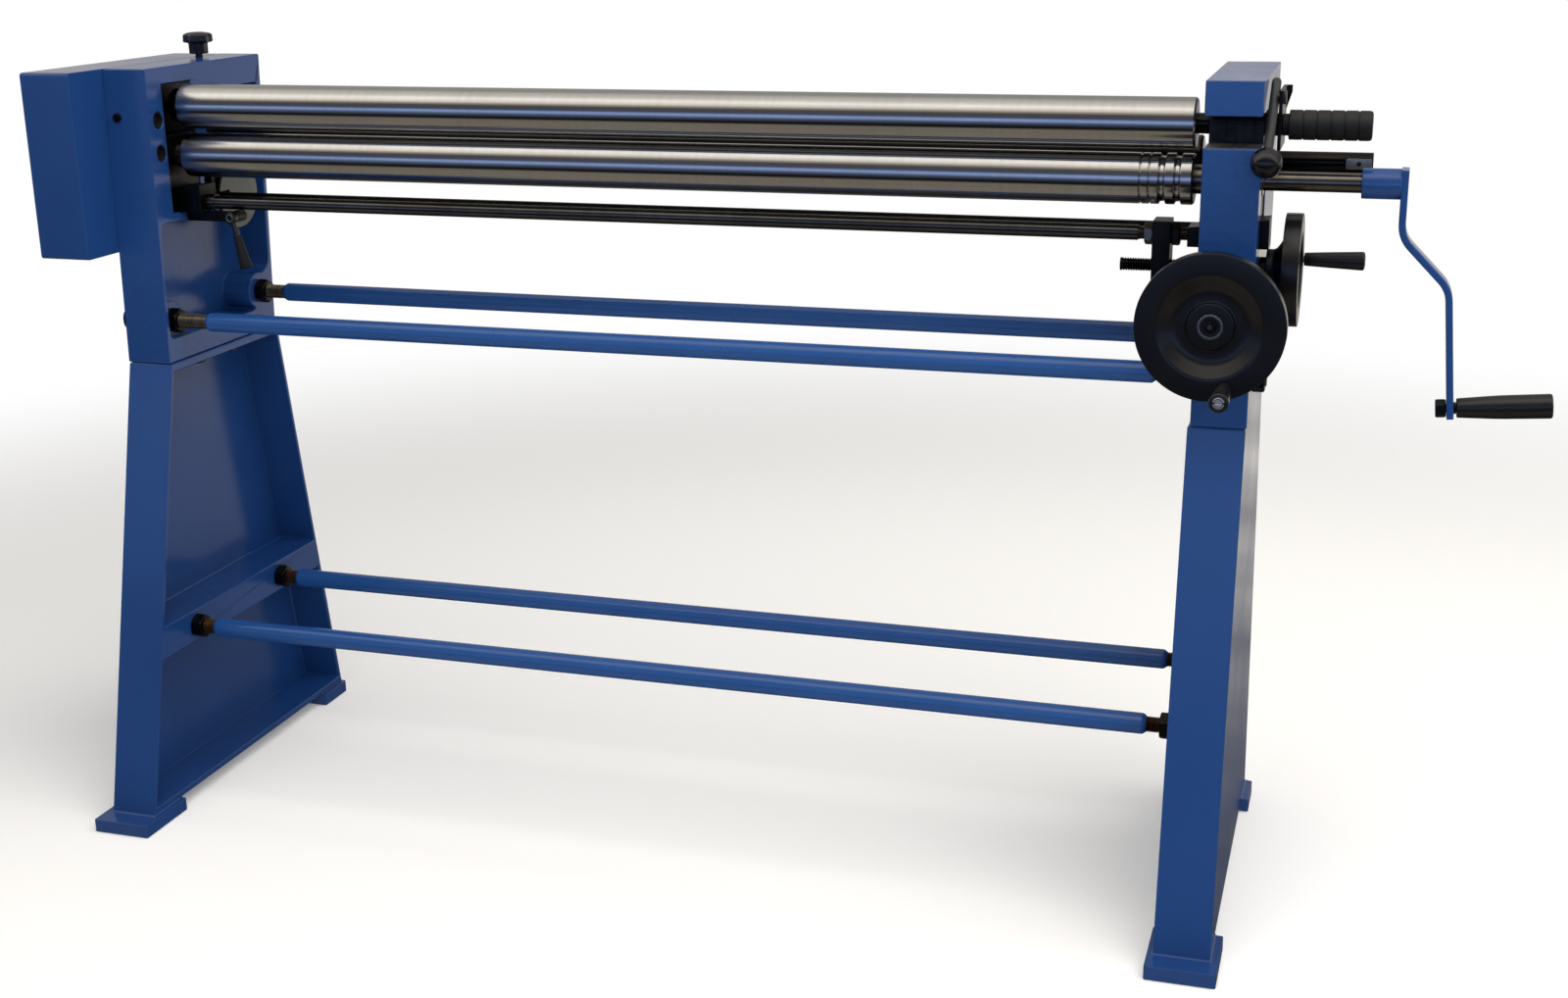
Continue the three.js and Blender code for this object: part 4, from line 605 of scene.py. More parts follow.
make("lower_roll_shafts", [
    turned("x", (0, 0, LOWER_Z), softened([
        (-LOWER_LEFT_END, 0), (-LOWER_LEFT_END, LOWER_GEAR_SEAT), (-HOUSING_OUTER, LOWER_GEAR_SEAT),
        (-HOUSING_OUTER, LOWER_JOURNAL), (-ROOT, LOWER_JOURNAL), (-ROOT, 0)], 0.6)),
    turned("x", (0, 0, LOWER_Z), softened([
        (ROOT, 0), (ROOT, LOWER_JOURNAL), (HOUSING_OUTER, LOWER_JOURNAL),
        (HOUSING_OUTER, LOWER_SHAFT), (LOWER_END, LOWER_SHAFT), (LOWER_END, 0)], 0.6))],
    shaft_steel, "lower_roll")

# %% [markdown]
# The rear roll's shaft sticks out of the right housing. A flat was milled on it for a set
# screw, so beyond the flat's start the round section is cut off: every point whose distance
# towards the operator passes the flat is pulled back to it.

# %% Rear shaft
SHAFT_RADIUS, SHAFT_END, SHAFT_LEFT_END = 12.5, 873.0, 732.7
FLAT_START, FLAT_DEPTH = 841.0, 2.0
flat_face = REAR_Y - SHAFT_RADIUS + FLAT_DEPTH


def with_flat(points):
    """Points past the flat's start with y below axis - radius + depth move to that plane."""
    points = points.copy()
    beyond = points[..., 0] >= FLAT_START
    points[..., 1] = np.where(beyond, np.maximum(points[..., 1], flat_face), points[..., 1])
    return points


rear_outline = softened([
    (ROOT, 0), (ROOT, SHAFT_RADIUS), (FLAT_START - 0.5, SHAFT_RADIUS),
    (FLAT_START, SHAFT_RADIUS), (SHAFT_END, SHAFT_RADIUS), (SHAFT_END, 0)],
    [[0], [0.6], [0], [0], [0.8], [0]])
rear_points, rear_faces = turned("x", (0, REAR_Y, REAR_Z), rear_outline)
make("rear_roll_shafts", [
    (with_flat(rear_points), rear_faces),
    round_bar("x", (0, REAR_Y, REAR_Z), SHAFT_RADIUS, -SHAFT_LEFT_END, -ROOT)],
    black_shaft, "rear_roll")
flat_half = math.sqrt(SHAFT_RADIUS ** 2 - (SHAFT_RADIUS - FLAT_DEPTH) ** 2) - 0.4
flat_outline = softened([
    (FLAT_START + 1, REAR_Z - flat_half), (SHAFT_END - 1.2, REAR_Z - flat_half),
    (SHAFT_END - 1.2, REAR_Z + flat_half), (FLAT_START + 1, REAR_Z + flat_half)], 2.0, True)
make("rear_shaft_milled_flat", [
    plate(flat_outline, flat_face - 0.1, flat_face + 0.4, 0.05, axes=(0, 2, 1))],
    milled_steel, "rear_roll")
FLAT_SCREW_X, FLAT_SCREW_FLATS = 857.0, 5.2
make("rear_shaft_set_screw", [
    hexagon("y", (FLAT_SCREW_X, flat_face, REAR_Z), FLAT_SCREW_FLATS, -0.5, 0.25)],
    black_oxide, "rear_roll")

# %% [markdown]
# ## Tie rods
# Four painted bars keep the housings and stands apart. Their ends are turned down and
# threaded, and the paint stops short of the thread. The upper studs are bright, the lower ones
# have a little rust.

# %% Tie rods and nuts
TIE_RADIUS, STUD_RADIUS, STUD_PITCH = 13.0, 10.0, 2.5
NUT_FLATS, NUT_LENGTH, NUT_BORE, NUT_GAP = 30.0, 16.0, 9.8, 0.3
# Place across and above the floor, half lengths to the shoulder and the tip, and the nut's seat
TIE_RODS = {
    "upper_front": (-45.7, 682.0, 644.0, 771.9, 703.0),
    "upper_rear": (155.5, 686.0, 644.0, 771.9, 689.0),
    "lower_front": (-86.0, 250.0, 653.0, 713.3, 686.0),
    "lower_rear": (134.0, 250.0, 653.0, 713.3, 686.0),
}
for name, (y, z, shoulder, tip, face) in TIE_RODS.items():
    upper = name.startswith("upper")
    bar_ends = softened([
        (-shoulder, STUD_RADIUS - 1), (-shoulder, TIE_RADIUS - 3), (-shoulder + 4, TIE_RADIUS),
        (shoulder - 4, TIE_RADIUS), (shoulder, TIE_RADIUS - 3), (shoulder, STUD_RADIUS - 1)], 2.0)
    make(f"tie_rod_bar_{name}", [turned("x", (0, y, z), bar_ends, 64, closed=True)],
         bar_enamel, "frame", [f"tie_rod_{name}"])
    studs = []
    for way in (-1, 1):
        low, high = sorted((way * (shoulder - 1), way * tip))
        studs += thread("x", (0, y, z), STUD_RADIUS, low, high, STUD_PITCH)
    make(f"tie_rod_studs_{name}", studs, thread_steel if upper else rusty_steel, "frame",
         crease=60)
    for way, side in ((-1, "left"), (1, "right")):
        low, high = sorted((way * (face - NUT_GAP), way * (face - NUT_GAP - NUT_LENGTH)))
        make(f"jam_nut_{name}_{side}", [
            hexagon("x", (0, y, z), NUT_FLATS, low, high, NUT_BORE)],
            black_oxide, "frame", [f"nut_{name}_{side}"])
        if upper:
            outer_seat = HOUSING_OUTER + NUT_GAP
            low, high = sorted((way * outer_seat, way * (outer_seat + NUT_LENGTH)))
            make(f"outer_nut_{name}_{side}", [
                hexagon("x", (0, y, z), NUT_FLATS, low, high, NUT_BORE)],
                black_oxide, "frame", [f"outer_nut_upper_{name[6:]}_{side}"])

BOLT_X, BOLT_PLACES = 713.0, (("front", 20.0), ("rear", 100.0))
BOLT_FLATS, BOLT_RADIUS, BOLT_LOW, BOLT_SEAT, BOLT_TIP = 19.0, 6.0, 607.1, 615.1, 653.1
for side, way in (("left", -1), ("right", 1)):
    for place, y in BOLT_PLACES:
        make(f"foot_bolt_{side}_{place}", [
            hexagon("z", (way * BOLT_X, y, 0), BOLT_FLATS, BOLT_LOW, BOLT_SEAT),
            round_bar("z", (way * BOLT_X, y, 0), BOLT_RADIUS, BOLT_SEAT - 1.1, BOLT_TIP, 32)],
            black_oxide, "frame", [f"housing_bolt_{side}_{place}"])

# %% [markdown]
# ## Handwheels
# A moulded handwheel is a shallow dish: a thick rim, a sunk web and a raised hub with a steel
# insert. All of it is one turned outline. The handle turns on a stud and ends in a slotted screw.

# %% Handwheels
RIM_WIDTH, DISH_DEPTH, HUB_SUNK, HUB_RADIUS, WHEEL_BORE = 19.5, 12.0, 8.0, 23.5, 6.3
CONE_FOOT, CONE_SHARE, DISH_OUTER, DISH_INNER, HUB_SHARE = 29.0, 0.57, 0.7, 0.5, 0.31
HANDLE_LENGTH, HANDLE_STUD, STUD_DEPTH, HANDLE_BORE = 71.0, 4.0, 10.0, 4.3


def wheel_outline(radius, face, direction, hub_length):
    """Outline from the hub's back up the rear cone, round the flat rim, down the dish and over
    the hub's face to the bore; distances run back from the face."""
    web = np.array([
        (hub_length, WHEEL_BORE), (hub_length, HUB_RADIUS), (CONE_FOOT, HUB_RADIUS),
        (RIM_WIDTH, radius * CONE_SHARE), (RIM_WIDTH, radius), (0, radius),
        (0, radius * DISH_OUTER), (DISH_DEPTH, radius * DISH_INNER),
        (DISH_DEPTH, radius * (HUB_SHARE + 0.02)), (HUB_SUNK, radius * HUB_SHARE),
        (HUB_SUNK, WHEEL_BORE)], float)
    rounding = np.array([0.3, 1.5, 4, 4, 1.2, 1.2, 2.5, 5, 1.5, 1.2, 0.3])[:, None]
    web[:, 0] = face - direction * web[:, 0]
    return softened(web, rounding, closed=True, steps=6)


def handle_outline(face, direction):
    """Outline of the revolving handle: it widens all the way to its rounded end."""
    sleeve = np.array([(1, HANDLE_BORE), (1, 7.8), (30, 9.4), (HANDLE_LENGTH - 1, 11.2),
                       (HANDLE_LENGTH, HANDLE_BORE)], float)
    sleeve[:, 0] = face + direction * sleeve[:, 0]
    return softened(sleeve, np.array([0.3, 1.2, 20, 3, 0.3])[:, None], closed=True)


def slotted_end(axis, centre, base, top, radius, slot):
    """A screw head in its end: a disc whose top face sinks by 1 mm inside the slot's width."""
    points, faces = turned(axis, centre, [
        (base, 0), (base, radius), (top - 0.4 * np.sign(top - base), radius),
        (top, radius - 0.4), *[(top, radius * share) for share in (0.8, 0.6, 0.4, 0.2)],
        (top, 0)], 96)
    along, side, across_slot = across(axis)
    offset = points - np.asarray(centre, float)
    in_slot = np.abs(offset @ across_slot) < slot
    on_top = np.abs(offset @ along - top) < 0.1
    sunk = np.where(in_slot & on_top, 1.0, 0.0)[..., None] * np.sign(base - top) * along
    return points + sunk, faces


def dressed_wheel(prefix, axis, centre, radius, face, direction, hub_length, handle_centre,
                  wheel_body, handle_body, wheel_node, handle_node):
    """Wheel, handle, hub ring, socket nut and the handle's slotted screw."""
    def at(distance):
        return face + direction * distance

    make(f"{prefix}_wheel", [
        turned(axis, centre, wheel_outline(radius, face, direction, hub_length), 160, True)],
        phenolic, wheel_body, [wheel_node])
    make(f"{prefix}_handle_stud", [
        round_bar(axis, handle_centre, HANDLE_STUD, at(-STUD_DEPTH), at(HANDLE_LENGTH - 4), 32),
        slotted_end(axis, handle_centre, at(HANDLE_LENGTH - 5), at(HANDLE_LENGTH - 0.1), 6.6, 0.9)],
        zinc_steel, wheel_body)
    make(f"{prefix}_handle_sleeve", [
        turned(axis, handle_centre, handle_outline(face, direction), 64, True)],
        handle_black, handle_body, [handle_node])
    back, front = at(-HUB_SUNK - 0.5), at(-HUB_SUNK + 1.2)
    make(f"{prefix}_hub_ring", [
        turned(axis, centre, softened([
            (back, 11.4), (back, 14.4), (front, 14.4), (front, 11.4)], 0.5, True), 64, True)],
        bright_steel, wheel_body)
    make(f"{prefix}_hub_nut", [
        hexagon(axis, centre, 13, *sorted((at(-HUB_SUNK - 0.4), at(-HUB_SUNK + 4))), bore=3.2)],
        black_oxide, wheel_body)


FRONT_X, FRONT_Z, FRONT_WHEEL_FACE, FRONT_WHEEL_RADIUS = 713.0, 761.0, -157.0, 84.0
SIDE_Z, SIDE_WHEEL_FACE, SIDE_WHEEL_RADIUS = 802.0, 801.0, 66.0
COLLAR_RADIUS, COLLAR_LENGTH, SPINDLE_RADIUS, SEAT_GAP = 14.0, 7.0, 6.0, 0.3


def on_circle(radius, degrees):
    """The two coordinates of a point on a circle."""
    return radius * math.cos(math.radians(degrees)), radius * math.sin(math.radians(degrees))


FRONT_HANDLE_ARM, FRONT_HANDLE_ANGLE = 70.0, -74.0
SIDE_HANDLE_ARM, SIDE_HANDLE_ANGLE = 54.0, 4.0
front_handle = on_circle(FRONT_HANDLE_ARM, FRONT_HANDLE_ANGLE)
side_handle = on_circle(SIDE_HANDLE_ARM, SIDE_HANDLE_ANGLE)
BUSH_RADIUS, BUSH_LENGTH = 21.0, 18.0
FRONT_FOOT, FRONT_LEAN, HOUSING_LOW, HOUSING_HIGH = -80.0, 12.0, 627.4, 1024.0
front_at_bush = FRONT_FOOT + FRONT_LEAN * (
    (FRONT_Z - BUSH_RADIUS - HOUSING_LOW) / (HOUSING_HIGH - HOUSING_LOW))
bush_face = front_at_bush - SEAT_GAP - BUSH_LENGTH
collar_space = COLLAR_LENGTH + 2 * SEAT_GAP
dressed_wheel("front", "y", (FRONT_X, 0, FRONT_Z), FRONT_WHEEL_RADIUS, FRONT_WHEEL_FACE, -1,
              bush_face - collar_space - FRONT_WHEEL_FACE,
              (FRONT_X + front_handle[0], 0, FRONT_Z + front_handle[1]),
              "front_wheel", "front_handle", "front_handwheel", "front_handle")
dressed_wheel("side", "x", (0, 0, SIDE_Z), SIDE_WHEEL_RADIUS, SIDE_WHEEL_FACE, 1,
              SIDE_WHEEL_FACE - HOUSING_OUTER - collar_space,
              (0, side_handle[0], SIDE_Z + side_handle[1]),
              "side_wheel", "side_handle", "side_handwheel", "side_handle")

# %% Adjusting screws and the front collar
SCREW_THREAD, FRONT_PITCH, SIDE_PITCH = 8.0, 4.0, 3.0
FRONT_THREAD_START, FRONT_THREAD_END = -60.0, 110.0
SIDE_THREAD_START, SIDE_THREAD_END = 592.0, 680.0
SPINDLE_FRONT, SPINDLE_RIGHT = -150.0, 794.0


def screw_outline(inner, outer, thread_at, spindle_at):
    """From the thread's start to the collar between `inner` and `outer`, then the spindle."""
    return softened([
        (thread_at, 0), (thread_at, SCREW_THREAD), (inner, SCREW_THREAD), (inner, COLLAR_RADIUS),
        (outer, COLLAR_RADIUS), (outer, SPINDLE_RADIUS), (spindle_at, SPINDLE_RADIUS),
        (spindle_at, 0)], 0.6)


front_seat, side_seat = bush_face - SEAT_GAP, HOUSING_OUTER + SEAT_GAP
make("front_adjusting_screw", [
    turned("y", (FRONT_X, 0, FRONT_Z), screw_outline(
        front_seat, front_seat - COLLAR_LENGTH, FRONT_THREAD_START, SPINDLE_FRONT)),
    *thread("y", (FRONT_X, 0, FRONT_Z), SCREW_THREAD, FRONT_THREAD_START - 1, FRONT_THREAD_END,
            FRONT_PITCH)],
    thread_steel, "front_wheel", ["front_screw"], crease=60)
make("front_collar", [
    turned("y", (FRONT_X, 0, FRONT_Z), softened([
        (bush_face, 8.3), (bush_face, BUSH_RADIUS), (bush_face + BUSH_LENGTH, BUSH_RADIUS),
        (bush_face + BUSH_LENGTH, 8.3)], 1.2, True), 64, True)],
    black_oxide, "frame", ["front_bush"])
make("side_adjusting_screw", [
    turned("x", (0, 0, SIDE_Z), screw_outline(
        side_seat, side_seat + COLLAR_LENGTH, SIDE_THREAD_END, SPINDLE_RIGHT)),
    *thread("x", (0, 0, SIDE_Z), SCREW_THREAD, SIDE_THREAD_START, SIDE_THREAD_END + 1,
            SIDE_PITCH)],
    black_oxide, "side_wheel", ["side_screw"], crease=60)

# %% [markdown]
# ## Draw rod
# A polished rod under the rolls ties the two lifting wedges together. Its right end is
# threaded and held in a black bracket by two nuts.

# %% Draw rod
ROD_Z, ROD_RADIUS, ROD_LEFT, ROD_SHOULDER, ROD_RIGHT = 840.0, 9.0, -676.0, 612.0, 691.0
ROD_COLLAR, COLLAR_LEFT, COLLAR_RIGHT = 11.0, -655.7, -642.7
ROD_THREAD, ROD_THREAD_ROOT, ROD_PITCH = 8.0, 7.4, 2.0
ROD_NUT_FLATS, ROD_NUT_LENGTH, ROD_NUT_BORE = 24.0, 10.0, 7.8
make("draw_rod_bar", [
    turned("x", (0, 0, ROD_Z), softened([
        (ROD_LEFT, 0), (ROD_LEFT, ROD_RADIUS), (COLLAR_LEFT, ROD_RADIUS),
        (COLLAR_LEFT, ROD_COLLAR), (COLLAR_RIGHT, ROD_COLLAR), (COLLAR_RIGHT, ROD_RADIUS),
        (ROD_SHOULDER, ROD_RADIUS), (ROD_SHOULDER, ROD_THREAD_ROOT),
        (ROD_SHOULDER + 2, ROD_THREAD_ROOT), (ROD_SHOULDER + 2, 0)], 0.7), 64)],
    rod_steel, "draw_rod", ["draw_rod"])
make("draw_rod_thread",
     thread("x", (0, 0, ROD_Z), ROD_THREAD, ROD_SHOULDER + 0.5, ROD_RIGHT, ROD_PITCH),
     thread_steel, "draw_rod", crease=60)
for place, start, nut_steel, slot in (
        ("inner", 619.7, bright_steel, "bare_steel"), ("outer", 651.3, black_oxide, "black_steel")):
    make(f"draw_rod_nut_{place}", [
        hexagon("x", (0, 0, ROD_Z), ROD_NUT_FLATS, start, start + ROD_NUT_LENGTH, ROD_NUT_BORE)],
        nut_steel, "draw_rod", [f"rod_nut_{place}"])

# %% [markdown]
# ## Crank
# The arm is a flat bar with two gentle bends, welded to a hub. Its side outline is drawn once
# and given its width, with the long edges rounded. The black handle turns on a bolt.

# %% Crank
HANDLE_X, HANDLE_Z, KNEE_UPPER, KNEE_LOWER = 973.5, 646.7, 846.0, 788.0
ARM_X, ARM_LOW_X, BAR, BAR_WIDTH, TAIL = 906.0, 962.0, 8.0, 32.0, 9.5
HUB_START, HUB_OUTER, HUB_BORE = 863.0, 17.5, 11.5
CRANK_TILT = math.atan((HANDLE_X - ARM_LOW_X) / (KNEE_LOWER - HANDLE_Z))
handle_axis = (math.cos(CRANK_TILT), 0, math.sin(CRANK_TILT))
handle_point = (HANDLE_X, 0, HANDLE_Z)
tail_z = HANDLE_Z - TAIL
tail_lean = math.tan(CRANK_TILT) * (KNEE_LOWER - tail_z)
arm_path = softened([
    (ARM_X + BAR / 2, LOWER_Z + HUB_OUTER), (ARM_X + BAR / 2, KNEE_UPPER),
    (ARM_LOW_X + BAR / 2, KNEE_LOWER), (ARM_LOW_X + tail_lean + BAR / 2, tail_z)],
    [[0], [16], [14], [0]], steps=9)
arm_section = softened([
    (-BAR / 2, -BAR_WIDTH / 2), (BAR / 2, -BAR_WIDTH / 2), (BAR / 2, BAR_WIDTH / 2),
    (-BAR / 2, BAR_WIDTH / 2)], 1.6, True)
make("crank_bar", [
    carried(np.delete(arm_path, np.r_[1:9, -8:0], 0), arm_section),
    turned("x", (0, 0, LOWER_Z), softened([
        (HUB_START, HUB_BORE), (HUB_START, HUB_OUTER), (ARM_X + 1, HUB_OUTER),
        (ARM_X + 1, HUB_BORE)], 1.5, True), 64, True)],
    sheet_enamel, "lower_roll", ["crank_arm"])
CRANK_BOLT_FLATS, CRANK_BOLT_HEAD, CRANK_BOLT_RADIUS, CRANK_BOLT_END = 19.0, 12.0, 5.0, 101.5
CRANK_COLLAR_RADIUS, CRANK_COLLAR_START, CRANK_COLLAR_END = 7.0, BAR + SEAT_GAP, 10.8
make("crank_bolt", [
    hexagon(handle_axis, handle_point, CRANK_BOLT_FLATS, -SEAT_GAP - CRANK_BOLT_HEAD, -SEAT_GAP),
    turned(handle_axis, handle_point, softened([
        (-1, 0), (-1, CRANK_BOLT_RADIUS), (CRANK_COLLAR_START, CRANK_BOLT_RADIUS),
        (CRANK_COLLAR_START, CRANK_COLLAR_RADIUS), (CRANK_COLLAR_END, CRANK_COLLAR_RADIUS),
        (CRANK_COLLAR_END, CRANK_BOLT_RADIUS), (CRANK_BOLT_END, CRANK_BOLT_RADIUS),
        (CRANK_BOLT_END, 0)], 0.5), 48)],
    black_oxide, "lower_roll", ["crank_spindle"])
GRIP_START, GRIP_END, GRIP_BORE, GRIP_FLOOR = 11.1, 116.8, 5.3, 11.0
GRIP_SMALL, GRIP_WAIST, GRIP_LARGE, GRIP_WAIST_AT = 11.3, 13.8, 14.3, 46.0
make("crank_handle", [
    turned(handle_axis, handle_point, softened([
        (GRIP_START, GRIP_BORE), (GRIP_START, GRIP_SMALL), (GRIP_START + GRIP_WAIST_AT, GRIP_WAIST),
        (GRIP_END - 1.2, GRIP_LARGE), (GRIP_END, 0)],
        [[0], [1.5], [12], [3], [0]]), 64),
    turned(handle_axis, handle_point, [
        (GRIP_START, GRIP_BORE), (GRIP_END - GRIP_FLOOR, GRIP_BORE), (GRIP_END - GRIP_FLOOR, 0)],
        64)],
    handle_black, "crank_grip", ["crank_grip"])

# %% [markdown]
# ## Drop-out bearing, lever and rubber grip
# The lever is a slim rod with a phenolic ball. It turns on a pin in the bearing's ear. The
# rubber grip has six soft rings with narrow grooves between them.

# %% Lever and grip
LEVER_X, PIVOT_Y, PIVOT_Z = 761.6, -8.0, 1001.0
LEVER_LENGTH, LEVER_TAIL, LEVER_SLOPE = 111.0, 30.0, math.radians(35)
LEVER_RADIUS, LEVER_BALL, BALL_SOCKET = 5.5, 17.5, 12.0
EAR_OUTER, LEVER_PIN, PIN_HEAD, PIN_HEAD_LENGTH = 771.6, 5.0, 8.0, 3.0
PIN_SEAT = EAR_OUTER + SEAT_GAP
lever_axis = (0, -math.cos(LEVER_SLOPE), -math.sin(LEVER_SLOPE))
pivot = (LEVER_X, PIVOT_Y, PIVOT_Z)
make("drop_lever_rod", [
    turned(lever_axis, pivot, softened([
        (-LEVER_TAIL, 0), (-LEVER_TAIL, LEVER_RADIUS), (LEVER_LENGTH - BALL_SOCKET, LEVER_RADIUS),
        (LEVER_LENGTH - BALL_SOCKET, 0)], [[0], [5], [0.5], [0]]), 40),
    turned("x", (0, PIVOT_Y, PIVOT_Z), softened([
        (LEVER_X, 0), (LEVER_X, LEVER_PIN), (PIN_SEAT, LEVER_PIN), (PIN_SEAT, PIN_HEAD),
        (PIN_SEAT + PIN_HEAD_LENGTH, PIN_HEAD), (PIN_SEAT + PIN_HEAD_LENGTH, 0)], 0.8), 40)],
    lever_black, "ball_lever", ["ball_lever"])
ball_turn = np.linspace(0, np.pi, 33)[2:]
ball_shape = np.column_stack([
    LEVER_LENGTH - LEVER_BALL * np.cos(ball_turn), LEVER_BALL * np.sin(ball_turn)])
ball_shape[-1, 1] = 0
ball_shape = np.vstack([[ball_shape[0, 0], 0], ball_shape])
make("drop_lever_ball", [turned(lever_axis, pivot, ball_shape, 64)],
     ball_phenolic, "ball_lever")

RUBBER_START, RUBBER_BARREL, RUBBER_END, RUBBER_RINGS = 771.9, 778.9, 871.0, 6
RUBBER_BORE, RUBBER_NECK, RUBBER_RADIUS, RUBBER_FLOOR = 8.3, 12.5, 17.0, UPPER_END + SEAT_GAP
ring_step = (RUBBER_END - RUBBER_BARREL) / RUBBER_RINGS
rings = [(RUBBER_BARREL + i * ring_step + step, RUBBER_RADIUS - depth)
         for i in range(1, RUBBER_RINGS)
         for step, depth in ((-1.2, 0), (-0.5, 1), (0.5, 1), (1.2, 0))]
make("upper_roll_grip", [
    turned("x", (0, 0, UPPER_Z), softened([
        (RUBBER_START, RUBBER_BORE), (RUBBER_START, RUBBER_NECK), (RUBBER_BARREL, RUBBER_NECK),
        (RUBBER_BARREL, RUBBER_RADIUS), *rings, (RUBBER_END, RUBBER_RADIUS), (RUBBER_END, 0)],
        [[0], [1], [1], [1.5], *[[0.5]] * len(rings), [4.5], [0]]), 64),
    turned("x", (0, 0, UPPER_Z), [
        (RUBBER_START, RUBBER_BORE), (RUBBER_FLOOR, RUBBER_BORE), (RUBBER_FLOOR, 0)], 64)],
    rubber, "upper_roll", ["upper_grip"])

# %% [markdown]
# ## Star knob and clamp lever
# The knob on the left housing has seven soft lobes: its radius follows a cosine round the
# head, which also domes at the top. The clamp lever is an eye, a bare stem and a dark grip.

# %% Small controls
KNOB, KNOB_LOBES, LOBE_DEPTH = (-742.0, 140.0, 1029.0), 7, 2.6
KNOB_STEM, STEM_DEPTH = 5.0, 35.0


def lobes(angle, along, radius):
    """Radius less depth·(0.5 - 0.5·cos(lobes·a)) at the head's rim, and less of it further in."""
    wave = LOBE_DEPTH * (0.5 - 0.5 * np.cos(KNOB_LOBES * angle))
    return radius - wave * np.clip((radius - 10) / 8, 0, 1)


make("star_knob_head", [
    turned("z", KNOB, softened([
        (0, 0), (0, 13.3), (15, 13.5), (16, 19), (17, 21), (26.5, 20.6), (28.5, 17), (30, 8),
        (30, 0)], [[0], [1], [1.5], [1], [1.5], [2], [3], [3], [0]]),
        112, shape=lobes)],
    phenolic, "star_knob", ["star_knob"])
make("star_knob_screw", [
    round_bar("z", KNOB, KNOB_STEM, -STEM_DEPTH, 1, 32)],
    black_oxide, "star_knob")

CLAMP, EYE_HALF, EYE_RADIUS, EYE_BORE = (-611.5, -15.8, 822.0), 5.5, 7.8, 3.4
CLAMP_GRIP_START, CLAMP_GRIP_END, CLAMP_PIN, CLAMP_PIN_END = 25.0, 71.0, 3.6, 13.8
clamp_slope = math.radians(13)
clamp_axis = (math.sin(clamp_slope), 0, -math.cos(clamp_slope))
# The eye and stem take the lever steel, which is darkened a little as painted shade.
make("clamp_eye", [
    turned("y", CLAMP, softened([
        (-EYE_HALF, EYE_BORE), (-EYE_HALF, EYE_RADIUS), (EYE_HALF, EYE_RADIUS),
        (EYE_HALF, EYE_BORE)], 1, True), 48, True),
    round_bar("y", CLAMP, CLAMP_PIN, -CLAMP_PIN, CLAMP_PIN_END, 32),
    turned(clamp_axis, CLAMP, [
        (6, 0), (6, EYE_BORE), (CLAMP_GRIP_START + 2, 3.8), (CLAMP_GRIP_START + 2, 0)], 32)],
    lever_steel, "clamp_lever", ["clamp_lever"])
make("clamp_eye_rim", [
    turned("y", CLAMP, softened([
        (-EYE_HALF - 0.8, 3.9), (-EYE_HALF - 0.8, 5.4), (-EYE_HALF + 0.5, 5.4),
        (-EYE_HALF + 0.5, 3.9)], 0.4, True), 48, True)],
    bright_steel, "clamp_lever")
make("clamp_grip", [
    turned(clamp_axis, CLAMP, softened([
        (CLAMP_GRIP_START, 0), (CLAMP_GRIP_START, 5.0), (CLAMP_GRIP_END - 3, 8.4),
        (CLAMP_GRIP_END, 7), (CLAMP_GRIP_END, 0)], [[0], [1], [2], [1.5], [0]]), 40)],
    flat_black, "clamp_lever")

# %% [markdown]
# ## Studio
# The background of the photograph is white. The floor keeps the machine's soft shadow, and
# fades to plain white to the camera a few metres away. The lamps only light the surfaces.
# What the polished steel mirrors is a glowing tent of coloured bands round the machine. The bands are
# painted reflections of a bright ceiling with fine lines, a strip of sky through a window and a
# concrete floor. Its dark band below and behind is painted shade for the lower roll, which hides the
# floor from the upper roll's underside.

# %% Floor
FADE_START, FADE_END, FLOOR_HALF, FLOOR_DROP = 1.7, 3.4, 30.0, 0.0005


def seen_directly(tree):
    """1 for rays from the camera, a mirror or glass: the three Light Path flags added up."""
    path = add(tree, "ShaderNodeLightPath")
    two = add(tree, "ShaderNodeMath", {
        0: path.outputs["Is Camera Ray"], 1: path.outputs["Is Glossy Ray"]}, operation="ADD")
    return add(tree, "ShaderNodeMath", {
        0: two.outputs["Value"], 1: path.outputs["Is Transmission Ray"]},
        operation="ADD", use_clamp=True).outputs["Value"]


floor_material, floor_tree, floor_shader, floor_place = begin("pale_studio_floor")
floor_shader.inputs["Base Color"].default_value = linear("#F4F3F1")
floor_shader.inputs["Roughness"].default_value = 0.9
floor_shader.inputs["Specular IOR Level"].default_value = 0.1
flag = seen_directly(floor_tree)
lift = add(floor_tree, "ShaderNodeMath", {0: flag, 1: 0.16}, operation="MULTIPLY")
floor_shader.inputs["Emission Color"].default_value = linear("#FFFFFF")
floor_tree.links.new(lift.outputs["Value"], floor_shader.inputs["Emission Strength"])
away = add(floor_tree, "ShaderNodeVectorMath", {0: floor_place}, operation="LENGTH")
fade = add(floor_tree, "ShaderNodeMapRange", {
    "Value": away.outputs["Value"], "From Min": FADE_START, "From Max": FADE_END},
    interpolation_type="SMOOTHSTEP")
fade_seen = add(floor_tree, "ShaderNodeMath", {0: fade.outputs["Result"], 1: flag},
                operation="MULTIPLY")
plain_white = add(floor_tree, "ShaderNodeEmission", {"Color": linear("#FFFFFF"), "Strength": 1.0})
floor_mix = add(floor_tree, "ShaderNodeMixShader", {
    "Fac": fade_seen.outputs["Value"], 1: floor_shader.outputs["BSDF"],
    2: plain_white.outputs["Emission"]})
floor_tree.links.new(floor_mix.outputs["Shader"],
                     floor_tree.nodes["Material Output"].inputs["Surface"])

